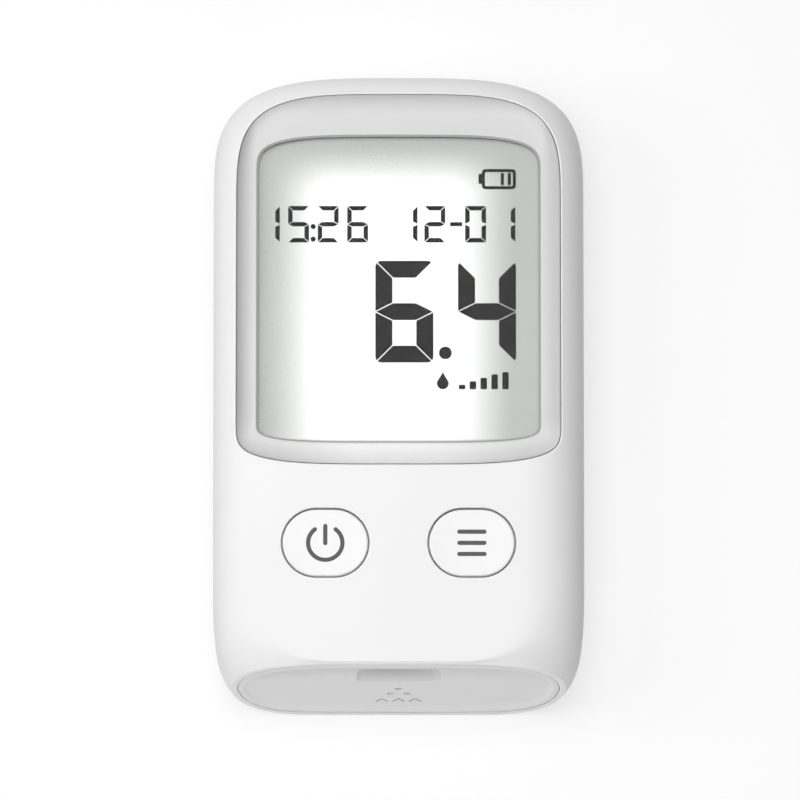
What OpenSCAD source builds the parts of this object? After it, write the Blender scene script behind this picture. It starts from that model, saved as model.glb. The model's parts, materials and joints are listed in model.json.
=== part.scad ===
// Blood glucose meter, lying on its back with the display up.
// Millimetres. +Z out of the display, +Y towards the display end, strip port at -Y.
// The origin is the middle of the flat back.

/* [Case] */
// Overall width of the case
body_w = 58; // [57:0.5:62]
// Overall length of the case
body_l = 99; // [98:0.5:106]
// Height of the joint between the two shells
parting_z = 9; // [8:0.5:10]
// Wall of the front shell
front_wall = 2.2; // [1.8:0.1:2.4]
// Wall of the rear shell
rear_wall = 2; // [1.6:0.1:2.2]
// Length of the round corners at the display end
top_corner = 20; // [16:1:24]
// Length of the round corners at the port end
port_corner = 26; // [24:1:28]
// Width of the front edge's round
front_round_w = 6.5; // [5:0.5:7.5]
// Height of the front edge's round
front_round_h = 8; // [7:0.5:9]
// Width of the back edge's round
back_round_w = 6; // [5:0.5:7]
// Height of the back edge's round
back_round_h = 8; // [6.5:0.5:8]
// Height and width of the locating lip on the rear shell
lip = 0.85; // [0.6:0.05:0.9]

/* [Port end] */
// Lean of the end face, in degrees from upright
end_slant = 14.4; // [10:0.2:16]
// Wall behind the end face
end_wall = 3; // [2.6:0.1:3.4]
// Width of the shells' rim round the end cap
end_rim = 0.95; // [0.8:0.05:1.4]
// Thickness of the end cap's visible plate
cap_plate = 1.5; // [1.2:0.1:1.8]
// Width of the end cap's raised border
cap_border = 1.05; // [0.8:0.05:1.5]
// Depth of the end cap's dished floor
cap_dish = 0.5; // [0.3:0.05:0.7]
// Width of the strip pocket
pocket_w = 13.2; // [11:0.2:15]
// Height of the strip pocket, along the end face
pocket_h = 3.8; // [3:0.1:4.4]
// Depth of the strip pocket below the dished floor
pocket_depth = 1.2; // [0.8:0.1:1.5]
// Depth of the strip slot's centre under the main board
slot_drop = 0.9; // [0.7:0.1:1.2]
// Width of the strip slot
slot_w = 7.8; // [6.5:0.1:8.4]
// Height of the strip slot
slot_h = 0.9; // [0.7:0.05:1.1]

/* [Display] */
// Distance from the case's side to the dish
dish_side = 3.7; // [3.4:0.1:4.2]
// Distance from the display end to the dish
dish_end = 3.6; // [3.3:0.1:4.5]
// Distance from the port end to the dish
dish_front = 36.7; // [35.5:0.1:37.5]
// Depth of the dish below the front
dish_depth = 2; // [1.6:0.1:2.1]
// Distance from the dish's side to the window
window_side = 3.4; // [3.2:0.1:5]
// Distance from the dish's top edge to the window
window_end = 6.6; // [6.4:0.1:8.5]
// Distance from the dish's lower edge to the window
window_front = 3.9; // [3.6:0.1:5]
// Thickness of the frame's lip over the lens
lip_t = 0.5; // [0.4:0.05:0.6]
// Thickness of the lens
lens_t = 0.8; // [0.6:0.05:0.9]
// Thickness of the adhesive ring
adhesive_t = 0.1; // [0.05:0.05:0.15]
// Thickness of the dust gasket
gasket_t = 0.15; // [0.1:0.05:0.2]
// Thickness of each polariser
polariser_t = 0.15; // [0.1:0.05:0.2]
// Thickness of each glass plate
glass_t = 0.55; // [0.4:0.05:0.6]
// Thickness of the backlight guide
guide_t = 0.8; // [0.6:0.05:0.9]

/* [Buttons] */
// Distance of each button from the middle
key_x = 11.4; // [10.8:0.1:12.2]
// Distance from the port end to the middle of the buttons
key_front = 24.3; // [23.5:0.1:25.5]
// Width of a button's opening
key_w = 13.8; // [12.5:0.1:14.2]
// Length of a button's opening
key_l = 11; // [10:0.1:11.4]
// Gap round a button
key_gap = 0.25; // [0.2:0.05:0.35]
// Travel of a button
key_travel = 0.6; // [0.4:0.1:0.7]
// Thickness of a button's flange
flange_t = 0.6; // [0.5:0.05:0.7]
// Depth of a button's finger dish
key_dish = 0.25; // [0.15:0.05:0.35]
// Side of a switch body
switch_w = 6; // [5:0.1:6.5]
// Radius of a switch plunger
plunger_r = 1.7; // [1.2:0.1:2]

/* [Board] */
// Thickness of the main board
board_t = 1; // [0.8:0.1:1.2]
// Distance from the port end to the main board
board_front_gap = 8.3; // [7.9:0.1:8.9]
// Distance from the display end to the main board
board_back_gap = 8.5; // [8.3:0.1:9]
// Clearance between the battery compartment's roof and the main board
board_clear = 0.7; // [0.5:0.1:1.2]
// Radius of the buzzer
buzzer_r = 6; // [5:0.25:7]
// Height of the buzzer
buzzer_h = 3.6; // [2.5:0.1:4.5]

/* [Battery] */
// Diameter of a cell
cell_d = 10.5; // [10:0.1:10.6]
// Length of a cell with its nub
cell_l = 44.5; // [43.5:0.1:44.6]
// Working length of a contact spring
spring_l = 4.6; // [4.2:0.1:4.8]
// Thickness of the battery door
door_t = 1.7; // [1.5:0.05:1.75]
// Depth of the door below the back
door_recess = 0.25; // [0.2:0.05:0.35]
// How far the door runs past the compartment at each side
door_side = 1.2; // [0.8:0.1:1.6]
// How much wider the dovetail is at each side
dovetail = 1; // [0.8:0.1:1.2]
// How far the door runs past the compartment at its lower end
door_past = 2.8; // [2.4:0.1:4.8]
// Clearance of the door in its slot
door_gap = 0.15; // [0.1:0.05:0.2]

/* [Fasteners] */
// Radius of a case screw's shank
screw_r = 0.95; // [0.8:0.05:1]
// Length of a case screw's shank
screw_l = 11.5; // [10:0.5:12]
// Radius of a case screw's head
screw_head_r = 1.85; // [1.6:0.05:1.95]
// Radius of a board screw's shank
board_screw_r = 0.8; // [0.7:0.05:0.9]

/* [Hidden] */

// Exponents of the superellipses: the plan's two ends, the dish, and the edge rounds
top_n = 3.5;
port_n = 5;
window_n = 4;
round_n = 2.2;
// The port end's corners run on past the end face, and lean in towards the front and the back
port_overrun = 1.7;
front_lean = 7.2;
back_lean = 1.6;
lean_start_z = 10;
// Exponent of the lean, which makes the end face's tips round
lean_n = 1.3;
// Steps in a quarter of an outline, and in an edge round
outline_steps = 12;
round_steps = 6;
// Small amounts: an overlap for cuts, a face-to-face joint, a loose fit and a running fit
cut = 0.5;
hair = 0.05;
loose = 0.1;
running = 0.05;

// Plan: the battery compartment, with two cells side by side
cell_r = cell_d / 2;
cell_gap = 0.2;
cell_x = cell_r + cell_gap / 2;
terminal_t = 0.4;
terminal_half_w = 4;
tail_half_w = 1.4;
tub_wall = 1.2;
tub_roof_t = 0.7;
tub_side_gap = 0.4;
tub_end_gap = 4.5;
cell_slack = 0.3;
tub_half_w = cell_x + cell_r + tub_side_gap;
tub_end_y = body_l / 2 - tub_end_gap;
tub_start_y = tub_end_y - cell_l - spring_l - 2 * terminal_t - cell_slack;
tub_front = tub_start_y - tub_wall;
tub_back = tub_end_y + tub_wall;
plate_y = tub_start_y + terminal_t;
link_y = tub_end_y - terminal_t;
door_y = tub_start_y - door_past;
door_half_w = tub_half_w + door_side;

// Heights, from the back up to the compartment's roof, and through the board and display to the front
cell_floor_gap = 0.2;
cell_roof_gap = 0.15;
door_top_z = door_recess + door_t;
cell_z = door_top_z + cell_floor_gap + cell_r;
tub_roof_z = cell_z + cell_r + cell_roof_gap;
roof_top_z = tub_roof_z + tub_roof_t;
board_under_z = roof_top_z + board_clear;
board_top_z = board_under_z + board_t;
guide_top_z = board_top_z + guide_t;
rear_polariser_top_z = guide_top_z + hair + polariser_t;
rear_glass_top_z = rear_polariser_top_z + glass_t;
front_glass_top_z = rear_glass_top_z + glass_t;
polariser_top_z = front_glass_top_z + polariser_t;
lens_under_z = polariser_top_z + gasket_t;
lens_top_z = lens_under_z + lens_t;
lip_under_z = lens_top_z + adhesive_t;
frame_floor_z = lip_under_z + lip_t;
body_t = frame_floor_z + dish_depth;
front_under_z = body_t - front_wall;
ledge_drop = 0.4;
ledge_z = lens_top_z - ledge_drop;
ledge_t = ledge_z - polariser_top_z - hair;
slot_z = board_under_z - slot_drop;

// Plan: the dish, the window and what lies under it
dish_half_w = body_w / 2 - dish_side;
dish_top = body_l / 2 - dish_end;
dish_bottom = -body_l / 2 + dish_front;
dish_top_reach = 19;
dish_bottom_reach = 7;
window_half_w = dish_half_w - window_side;
window_top = dish_top - window_end;
window_bottom = dish_bottom + window_front;
window_top_reach = 6;
window_bottom_reach = 3;
lens_margin = 1.2;
frame_margin = 1.35;
// The frame's dish: a steep wall at its edge that runs out into a cove
cove_n = 2.6;
wall_n = 9;
wall_share = 0.4;
ledge_reach = 1.2;
ledge_root = 1.2;
lcd_side_margin = 0.6;
lcd_top_margin = 0.7;
lcd_bottom_margin = 1.3;
lcd_half_w = window_half_w + lcd_side_margin;
lcd_top = window_top + lcd_top_margin;
lcd_bottom = window_bottom - lcd_bottom_margin;
contact_ledge = 2;
holder_wall = 0.7;
holder_corner = 1.5;
led_size = [3, 1.2, 0.7];
led_x = 9;
led_gap = 0.2;
zebra_side = 1;

// Buttons and switches
key_y = -body_l / 2 + key_front;
flange_gap = 0.2;
flange_w = 1;
flange_under_z = front_under_z - flange_gap - flange_t;
switch_clear = 0.2;
switch_top_z = flange_under_z - key_travel - switch_clear;
switch_floor_z = board_top_z + 0.1;
plunger_under_z = switch_floor_z + key_travel + hair;
pin_w = 0.7;
pin_l = 1.2;
pin_t = 0.25;
pin_y = 2.2;
pin_out = 0.4;

// Case screws at the port end, board screws, locating pins, and snap hooks at the display end
boss_side = 8.5;
boss_end = 13.5;
port_boss = [body_w / 2 - boss_side, -body_l / 2 + boss_end];
boss_r = 2.3;
rear_boss_r = 2.8;
screw_head_z = 1.2;
screw_head_t = 1.3;
screw_end_z = screw_head_z + screw_head_t + screw_l;
counterbore_r = screw_head_r + 0.2;
post_side = 7;
post_past_keys = 6.4;
pin_end = 14;
board_post = [body_w / 2 - post_side, key_y + post_past_keys];
board_pin = [body_w / 2 - post_side, body_l / 2 - pin_end];
board_pin_r = 0.9;
post_r = 2.1;
post_foot_z = rear_wall / 2;
board_screw_l = 5;
board_head_r = 1.5;
board_head_t = 0.9;
hook_x0 = 5;
hook_x1 = 9;
hook_reach = 0.5;
hook_rise = 2.5;
hook_t = 1;
hook_gap = 0.2;
hook_foot_z = 4;
hook_top_z = parting_z + hook_rise;
rib_t = 1;
pad_t = 1.5;
pad_side = 2;

// The strip port: cap, socket and contacts
wall_step = 1.7;
plate_gap = 0.1;
plug_gap = 0.15;
plug_setback = 0.5;
pocket_rise = 0.75;
pocket_r = 0.9;
ramp_angle = 45;
cap_hook_side = 7.1;
cap_hook_x = body_w / 2 - cap_hook_side;
cap_hook_y = 8.2;
cap_hook_w = 4;
cap_hook_t = 0.9;
cap_hook_reach = 2.3;
cap_hook_depth = 1.4;
board_front = -body_l / 2 + board_front_gap;
board_back = body_l / 2 - board_back_gap;
socket_w = 12;
socket_front = board_front - 0.9;
socket_l = 10.9;
socket_back = socket_front + socket_l;
socket_floor = 2.2;
socket_under_z = slot_z - socket_floor;
slot_stop = 2.5;
contact_pitch = 1.3;
contact_count = 5;
contact_w = 0.5;
contact_t = 0.2;
contact_l = 7;
contact_drop = 1;
contact_bump = 0.2;
sleeve_side = 1.4;
sleeve_w = slot_w + 2 * sleeve_side;
sleeve_h = slot_h + 1.9;

// Small parts on the board: in a row between the strip socket and the battery compartment, or by the port
row_y = (socket_back + tub_front) / 2;
chip_at = [10, row_y - 0.2];
chip_side = 9;
chip_h = 1.4;
chip_lead_count = 10;
chip_lead_pitch = 0.8;
chip_lead_w = 0.35;
chip_lead_l = 1;
chip_lead_z = 0.8;
lead_t = 0.2;
amplifier_at = [0, socket_back + 3.7];
amplifier_size = [5, 4, 1.5];
amplifier_pitch = 1.27;
amplifier_lead = 0.8;
crystal_at = [-1, row_y + 1.8];
crystal_r = 1;
crystal_l = 6;
crystal_lead_l = 1.6;
crystal_pitch = 0.7;
capacitor_size = [1, 1.8, 0.9];
capacitor_pitch = 2.2;
capacitor_x = 2.5;
capacitor_y = board_front + 5.2;
thermistor_size = [1.6, 0.8, 0.8];
thermistor_at = [10.5, board_front + 0.8];
buzzer_gap = 1.9;
buzzer_at = [-(board_post[0] - post_r - buzzer_gap - buzzer_r), row_y - 1.2];
buzzer_hole_r = 1;
sound_hole_r = 0.5;
sound_hole_count = 6;
sound_ring_r = buzzer_r / 2;

// Finger grooves in the battery door
grip_count = 6;
grip_pitch = 1.8;
grip_w = 0.8;
grip_l = 12;
grip_depth = 0.3;
grip_start = 4;

// Contact springs
wire_r = 0.25;
spring_turns = 4;
spring_r = 3.2;

shell_white = "whitesmoke";
frame_grey = "gainsboro";

// ---------- outlines and lofts ----------

// How far a round of width w and height h has drawn in at depth d past its start
function drawn_in(d, w, h) =
    d <= 0 ? 0 : w * (1 - pow(1 - pow(min(1, d / h), round_n), 1 / round_n));

// Inset of the case's side at height z, inside a skin of thickness t
function side_inset(z, t) =
    t + drawn_in(z - (body_t - front_round_h), front_round_w - t, front_round_h - t)
      + drawn_in(back_round_h - z, back_round_w - t, back_round_h - t);

// Inset of the port end's corners at height z
function port_inset(z, t) =
    t + front_lean * pow(max(0, z - lean_start_z) / (body_t - lean_start_z), lean_n)
      + drawn_in(back_round_h - z, back_lean, back_round_h);

// Place of the slanted end face at height z, or of its inner face when t is not 0
function end_face_y(z, t) =
    -body_l / 2 + z * tan(end_slant) + (t > 0 ? end_wall / cos(end_slant) : 0);

// A quarter of a superellipse, from its crown at angle a0 to angle a1
function quarter(half_w, mid_y, reach, n, a0, a1) = [
    for (i = [0 : outline_steps])
        let (a = a0 + (a1 - a0) * i / outline_steps)
        [half_w * pow(max(0, cos(a)), 2 / n), mid_y + reach * pow(max(0, sin(a)), 2 / n)]
];

// The right half and its mirror image, as one closed outline
function both_sides(right) = concat(right, [
    for (i = [len(right) - 1 : -1 : 0])
        if (right[i][0] > 0.001) [-right[i][0], right[i][1]]
]);

// The case's plan at height z, inside a skin of thickness t
function case_half(z, t) =
    let (
        s = side_inset(z, t),
        half_w = body_w / 2 - s,
        mid_y = -body_l / 2 - port_overrun + port_corner,
        reach = port_corner - port_inset(z, t),
        share = min(0.999, (mid_y - end_face_y(z, t)) / reach),
        last = asin(pow(share, port_n / 2))
    )
    concat(
        quarter(half_w, body_l / 2 - top_corner, top_corner - s, top_n, 90, 0),
        quarter(half_w, mid_y, -reach, port_n, 0, last)
    );
function case_plan(z, t) = both_sides(case_half(z, t));
function case_ring(z, t) = [for (p = case_plan(z, t)) [p[0], p[1], z]];

// An outline with straight sides and superellipse ends, such as the dish and the window
function window_shape(half_w, top, bottom, top_reach, bottom_reach) = both_sides(concat(
    quarter(half_w, top - top_reach, top_reach, window_n, 90, 0),
    quarter(half_w, bottom + bottom_reach, -bottom_reach, window_n, 0, 90)
));
function dish_shape(g) =
    window_shape(dish_half_w + g, dish_top + g, dish_bottom - g, dish_top_reach + g, dish_bottom_reach + g);
function window_opening(g) =
    window_shape(window_half_w + g, window_top + g, window_bottom - g, window_top_reach + g,
                 window_bottom_reach + g);

// Heights of the rings of a round, evenly spread round its quarter turn
function round_heights(z0, h) = [
    for (i = [1 : round_steps]) z0 + h * pow(sin(90 * i / round_steps), 2 / round_n)
];

// Height of the case's front at a point of its plan, found by halving the inset
function front_inset(x, y, low, high, turns) =
    turns == 0 ? (low + high) / 2 :
    let (
        s = (low + high) / 2,
        mid_y = body_l / 2 - top_corner,
        across = pow(abs(x) / (body_w / 2 - s), top_n),
        along = pow(max(0, y - mid_y) / (top_corner - s), top_n)
    )
    across + along < 1 ? front_inset(x, y, s, high, turns - 1)
                       : front_inset(x, y, low, s, turns - 1);
function front_height(x, y) =
    let (s = front_inset(x, y, 0, front_round_w, 14), k = 1 - s / front_round_w)
    body_t - front_round_h + front_round_h * pow(1 - pow(max(0, k), round_n), 1 / round_n);

// A solid lofted through rings with the same number of points
module loft(rings, ring_closed = false) {
    n = len(rings[0]);
    count = len(rings);
    last = ring_closed ? count - 1 : count - 2;
    sides = [
        for (k = [0 : last], i = [0 : n - 1])
            let (a = k * n, b = ((k + 1) % count) * n, j = (i + 1) % n)
            each [[a + i, b + i, b + j], [a + i, b + j, a + j]]
    ];
    caps = ring_closed ? [] : [
        [for (i = [0 : n - 1]) i],
        [for (i = [n - 1 : -1 : 0]) (count - 1) * n + i]
    ];
    polyhedron([for (r = rings) each r], concat(caps, sides));
}

// A flat outline with thickness, between two heights
module slab(shape, z0, z1) {
    translate([0, 0, z0])
        linear_extrude(z1 - z0)
            polygon(shape);
}

// A box from one corner to the other
module block(low, high) {
    translate(low)
        cube(high - low);
}

module post(at, r, z0, z1) {
    translate([at[0], at[1], z0])
        cylinder(r = r, h = z1 - z0, $fn = 48);
}

module both_x() {
    children();
    mirror([1, 0, 0])
        children();
}

// The end face's own frame: x across, y up the slope, z outwards
module on_end_face() {
    translate([0, -body_l / 2, 0])
        rotate([90 - end_slant, 0, 0])
            children();
}

// The end face's outline, drawn in by g
module end_outline(g) {
    step = body_t / 24;
    right = [
        for (k = [0 : 24])
            let (half = case_half(step * k, 0), p = half[len(half) - 1])
            [p[0], (p[1] + body_l / 2) * sin(end_slant) + step * k * cos(end_slant)]
    ];
    left = [for (k = [24 : -1 : 0]) [-right[k][0], right[k][1]]];
    offset(delta = -g)
        polygon(concat(right, left));
}

// A rounded bar of width w and length l
module stadium(w, l) {
    r = l / 2;
    hull() {
        for (side = [-1, 1])
            translate([side * (w / 2 - r), 0])
                circle(r = r, $fn = 64);
    }
}

// ---------- case ----------

module at_bosses() {
    for (side = [-1, 1])
        translate([side * port_boss[0], port_boss[1], 0])
            children();
}

module end_opening() {
    on_end_face() {
        translate([0, 0, -cap_plate - hair])
            linear_extrude(cap_plate + 2)
                end_outline(end_rim);
        translate([0, 0, -end_wall - 2])
            linear_extrude(end_wall + 2)
                end_outline(end_rim + wall_step);
    }
}

module front_shell() {
    inner_end_y = body_l / 2 - front_wall;
    outer_z0 = body_t - front_round_h;
    outer_up = concat([parting_z, lean_start_z, outer_z0], round_heights(outer_z0, front_round_h));
    inner_up = concat(
        [parting_z, lean_start_z, outer_z0],
        round_heights(outer_z0, front_round_h - front_wall)
    );
    outer = [for (i = [len(outer_up) - 1 : -1 : 0]) case_ring(outer_up[i], 0)];
    inner = [for (z = inner_up) case_ring(z, front_wall)];
    color(shell_white)
        difference() {
            union() {
                loft(concat(outer, inner));
                // Ledge that carries the display frame
                difference() {
                    slab(dish_shape(ledge_root), ledge_z - ledge_t, front_under_z + 0.3);
                    slab(dish_shape(-ledge_reach), ledge_z - 1, front_under_z + 1);
                }
                // Posts that take the case screws
                both_x()
                    post(port_boss, boss_r, parting_z, front_under_z + 0.3);
            }
            slab(dish_shape(hair), ledge_z, body_t + 1);
            difference() {
                slab(case_plan(parting_z, front_wall / 2 - hair), parting_z - 1, parting_z + lip + loose);
                slab(case_plan(parting_z, front_wall + cut), parting_z - 2, parting_z + 2);
            }
            for (side = [-1, 1])
                translate([side * key_x, key_y, front_under_z - 1])
                    linear_extrude(front_wall + 2)
                        stadium(key_w, key_l);
            at_bosses()
                translate([0, 0, parting_z - 1])
                    cylinder(r = screw_r + running, h = screw_end_z - parting_z + 1 + cut, $fn = 48);
            // Recesses for the rear shell's hooks
            both_x()
                block([hook_x0 - hook_gap, inner_end_y - cut, hook_top_z - hook_t - hook_gap],
                      [hook_x1 + hook_gap, inner_end_y + hook_reach + loose, hook_top_z + hook_gap]);
            end_opening();
        }
}

// Heights of the rear shell's outer rings, from the joint down to the back
function rear_heights() = concat(
    [parting_z, back_round_h],
    [for (h = round_heights(0, back_round_h)) back_round_h - h]
);

// The rear shell's outer form on its own, up to the joint
module rear_form() {
    loft([for (z = rear_heights()) case_ring(z, 0)]);
}

module door_slot() {
    w0 = door_half_w + door_gap;
    w1 = w0 + dovetail;
    z1 = door_top_z + door_gap;
    translate([0, door_y - door_gap, 0])
        rotate([90, 0, 180])
            linear_extrude(body_l)
                polygon([[-w0, -1], [-w0, door_recess], [-w1, z1], [w1, z1], [w0, door_recess], [w0, -1]]);
}

module rear_shell() {
    inner_up = concat(
        [for (h = round_heights(0, back_round_h - rear_wall)) back_round_h - h],
        [back_round_h, parting_z]
    );
    inner_rings = [for (i = [round_steps - 1 : -1 : 0]) case_ring(inner_up[i], rear_wall)];
    inner_rim = [for (z = [back_round_h, parting_z]) case_ring(z, rear_wall)];
    outer = [for (z = rear_heights()) case_ring(z, 0)];
    pad_half_w = door_half_w + dovetail + pad_side;
    pad_top_z = door_top_z + door_gap + pad_t;
    tub_x = tub_half_w + tub_wall;
    sunk_z = rear_wall - 0.3;
    hook_y = body_l / 2 - front_wall - 0.25;
    color(shell_white)
        difference() {
            union() {
                loft(concat(inner_rings, inner_rim, outer));
                block([-pad_half_w, door_y - pad_side, sunk_z], [pad_half_w, tub_back + 0.2, pad_top_z]);
                block([-tub_x, tub_front, sunk_z], [tub_x, tub_back, roof_top_z]);
                // Locating lip
                difference() {
                    slab(case_plan(parting_z, front_wall / 2 + hair), parting_z - 1, parting_z + lip);
                    slab(case_plan(parting_z, rear_wall), parting_z - 2, parting_z + 2);
                }
                at_bosses()
                    translate([0, 0, post_foot_z])
                        cylinder(r = rear_boss_r, h = parting_z - post_foot_z, $fn = 48);
                both_x() {
                    post(board_post, post_r, post_foot_z, board_under_z);
                    post(board_pin, post_r, post_foot_z, board_under_z);
                    post(board_pin, board_pin_r, post_foot_z, board_top_z - loose);
                }
                both_x() {
                    // Rib from the tub to the locating pin
                    block([tub_x - tub_wall / 2, board_pin[1] - rib_t / 2, post_foot_z],
                          [board_pin[0], board_pin[1] + rib_t / 2, back_round_h]);
                    // Snap hook
                    block([hook_x0, tub_back - 0.2, hook_foot_z],
                          [hook_x1, body_l / 2 - rear_wall + 0.5, parting_z - 1]);
                    block([hook_x0, tub_back - 0.2, hook_foot_z], [hook_x1, hook_y, hook_top_z]);
                    block([hook_x0, tub_back - 0.2, hook_top_z - hook_t],
                          [hook_x1, hook_y + hook_reach, hook_top_z]);
                }
            }
            door_slot();
            block([-tub_half_w, tub_start_y, door_top_z - cut], [tub_half_w, tub_end_y, tub_roof_z]);
            // Slots through the roof for the terminals' tails
            for (side = [-1, 1])
                block([side * cell_x - tail_half_w - loose, tub_start_y - 0.2, tub_roof_z - 1],
                      [side * cell_x + tail_half_w + loose, plate_y + loose, roof_top_z + 1]);
            at_bosses() {
                translate([0, 0, -1])
                    cylinder(r = counterbore_r, h = screw_head_z + screw_head_t + 1, $fn = 48);
                cylinder(r = screw_r + 0.2, h = parting_z + 1, $fn = 48);
            }
            both_x()
                post(board_post, board_screw_r + running, board_under_z - board_screw_l, board_under_z + 1);
            // Sound holes under the buzzer
            for (i = [0 : sound_hole_count - 1])
                translate([buzzer_at[0], buzzer_at[1], -1])
                    rotate([0, 0, 360 * i / sound_hole_count])
                        translate([sound_ring_r, 0, 0])
                            cylinder(r = sound_hole_r, h = rear_wall + 2, $fn = 24);
            end_opening();
        }
}

module port_cap() {
    pocket_y = slot_z / cos(end_slant) + pocket_rise;
    color(frame_grey)
        difference() {
            union() {
                on_end_face() {
                    translate([0, 0, -cap_plate])
                        linear_extrude(cap_plate)
                            end_outline(end_rim + plate_gap);
                    translate([0, 0, -end_wall])
                        linear_extrude(end_wall - plug_setback)
                            end_outline(end_rim + wall_step + plug_gap);
                    // Snap hooks behind the wall
                    both_x() {
                        translate([cap_hook_x, cap_hook_y, -end_wall - cap_hook_depth]) {
                            cube([cap_hook_t, cap_hook_w, cap_hook_depth + cut]);
                            cube([cap_hook_reach, cap_hook_w, cap_hook_depth - 0.25]);
                        }
                    }
                }
                // Sleeve that leads the strip to the socket
                block([-sleeve_w / 2, end_face_y(slot_z, 0) + 2, slot_z - sleeve_h / 2],
                      [sleeve_w / 2, socket_front - loose, slot_z + sleeve_h / 2]);
            }
            on_end_face() {
                translate([0, 0, -cap_dish])
                    linear_extrude(2)
                        end_outline(end_rim + plate_gap + cap_border);
                intersection() {
                    translate([0, pocket_y, -cap_dish - pocket_depth])
                        linear_extrude(3)
                            stadium_box(pocket_w, pocket_h, pocket_r);
                    // Ramp that leads the strip up to the slot
                    translate([-pocket_w, pocket_y - pocket_h / 2, -cap_dish])
                        rotate([ramp_angle, 0, 0])
                            translate([0, 0, -end_wall])
                                cube([2 * pocket_w, 2 * pocket_h, 2 * end_wall]);
                }
            }
            block([-slot_w / 2 - 0.2, -body_l / 2, slot_z - slot_h / 2 - 0.15],
                  [slot_w / 2 + 0.2, socket_front + 1, slot_z + slot_h / 2 + 0.15]);
        }
}

// A rectangle with round corners
module stadium_box(w, l, r) {
    hull() {
        for (sx = [-1, 1], sy = [-1, 1])
            translate([sx * (w / 2 - r), sy * (l / 2 - r)])
                circle(r = r, $fn = 32);
    }
}

// ---------- display ----------

module display_frame() {
    outer = dish_shape(-hair);
    inner = window_opening(0);
    rebate = window_opening(frame_margin);
    cove_steps = [0, 0.03, 0.08, 0.16, 0.3, 0.48, 0.7, 0.9, 1];
    fall = function(s) (1 - wall_share) * pow(1 - s, cove_n) + wall_share * pow(1 - s, wall_n);
    rim = [for (p = outer) front_height(p[0], p[1]) - loose];
    cove = [
        for (s = cove_steps) [
            for (i = [0 : len(outer) - 1])
                let (p = outer[i] + (inner[i] - outer[i]) * s)
                [p[0], p[1], frame_floor_z + (rim[i] - frame_floor_z) * fall(s)]
        ]
    ];
    level = function(shape, z) [for (p = shape) [p[0], p[1], z]];
    rings = concat(
        [cove[0], level(outer, ledge_z), level(rebate, ledge_z)],
        [level(rebate, lip_under_z), level(inner, lip_under_z)],
        [for (i = [len(cove_steps) - 1 : -1 : 1]) cove[i]]
    );
    color(frame_grey)
        loft(rings, ring_closed = true);
}

module display_lens() {
    color("white", 0.4)
        slab(window_opening(lens_margin), lens_under_z, lens_top_z);
}

module lens_adhesive() {
    color("dimgray")
        difference() {
            slab(window_opening(lens_margin), lens_top_z, lip_under_z);
            slab(window_opening(0.3), lens_top_z - 1, lip_under_z + 1);
        }
}

module dust_gasket() {
    color("black")
        difference() {
            slab(window_opening(0.5), polariser_top_z, lens_under_z);
            slab(window_opening(0.1), polariser_top_z - 1, lens_under_z + 1);
        }
}

module lcd_plate(bottom, z0, z1) {
    block([-lcd_half_w, bottom, z0], [lcd_half_w, lcd_top, z1]);
}

module lcd_front_polariser() {
    color("lightgray")
        lcd_plate(lcd_bottom, front_glass_top_z, polariser_top_z);
}

module lcd_front_glass() {
    color("honeydew")
        lcd_plate(lcd_bottom - contact_ledge, rear_glass_top_z, front_glass_top_z);
}

module lcd_rear_glass() {
    color("honeydew")
        lcd_plate(lcd_bottom, rear_polariser_top_z, rear_glass_top_z);
}

module lcd_rear_polariser() {
    color("silver")
        lcd_plate(lcd_bottom, rear_polariser_top_z - polariser_t, rear_polariser_top_z);
}

module backlight_guide() {
    color("white")
        block([-lcd_half_w, lcd_bottom, board_top_z],
              [lcd_half_w, lcd_top - led_size[1] - led_gap, guide_top_z]);
}

module backlight_leds() {
    color("lightyellow")
        for (side = [-1, 1])
            translate([side * led_x - led_size[0] / 2, lcd_top - led_size[1], board_top_z])
                cube([led_size[0], led_size[1], min(led_size[2], guide_t - hair)]);
}

module lcd_holder() {
    inner_bottom = lcd_bottom - contact_ledge;
    module ring_shape(g) {
        corner = g > loose ? holder_corner : 0.2;
        translate([0, (lcd_top + inner_bottom) / 2])
            stadium_box(2 * (lcd_half_w + g), lcd_top - inner_bottom + 2 * g, corner);
    }
    color("ivory")
        translate([0, 0, board_top_z])
            linear_extrude(front_glass_top_z - board_top_z)
                difference() {
                    ring_shape(loose + holder_wall);
                    ring_shape(loose);
                }
}

module zebra_connector() {
    color("slategray")
        block([-lcd_half_w + zebra_side, lcd_bottom - contact_ledge + loose, board_top_z],
              [lcd_half_w - zebra_side, lcd_bottom - 0.3, rear_glass_top_z]);
}

// ---------- board ----------

module main_board() {
    color("seagreen")
        difference() {
            translate([0, 0, board_under_z])
                linear_extrude(board_t)
                    intersection() {
                        polygon(case_plan(board_under_z, front_wall + 1.2));
                        translate([-body_w / 2, board_front])
                            square([body_w, board_back - board_front]);
                    }
            both_x() {
                post(port_boss, boss_r + 0.4, board_under_z - 1, board_top_z + 1);
                post(board_post, board_screw_r + loose, board_under_z - 1, board_top_z + 1);
                post(board_pin, board_pin_r + running, board_under_z - 1, board_top_z + 1);
            }
        }
}

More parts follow.
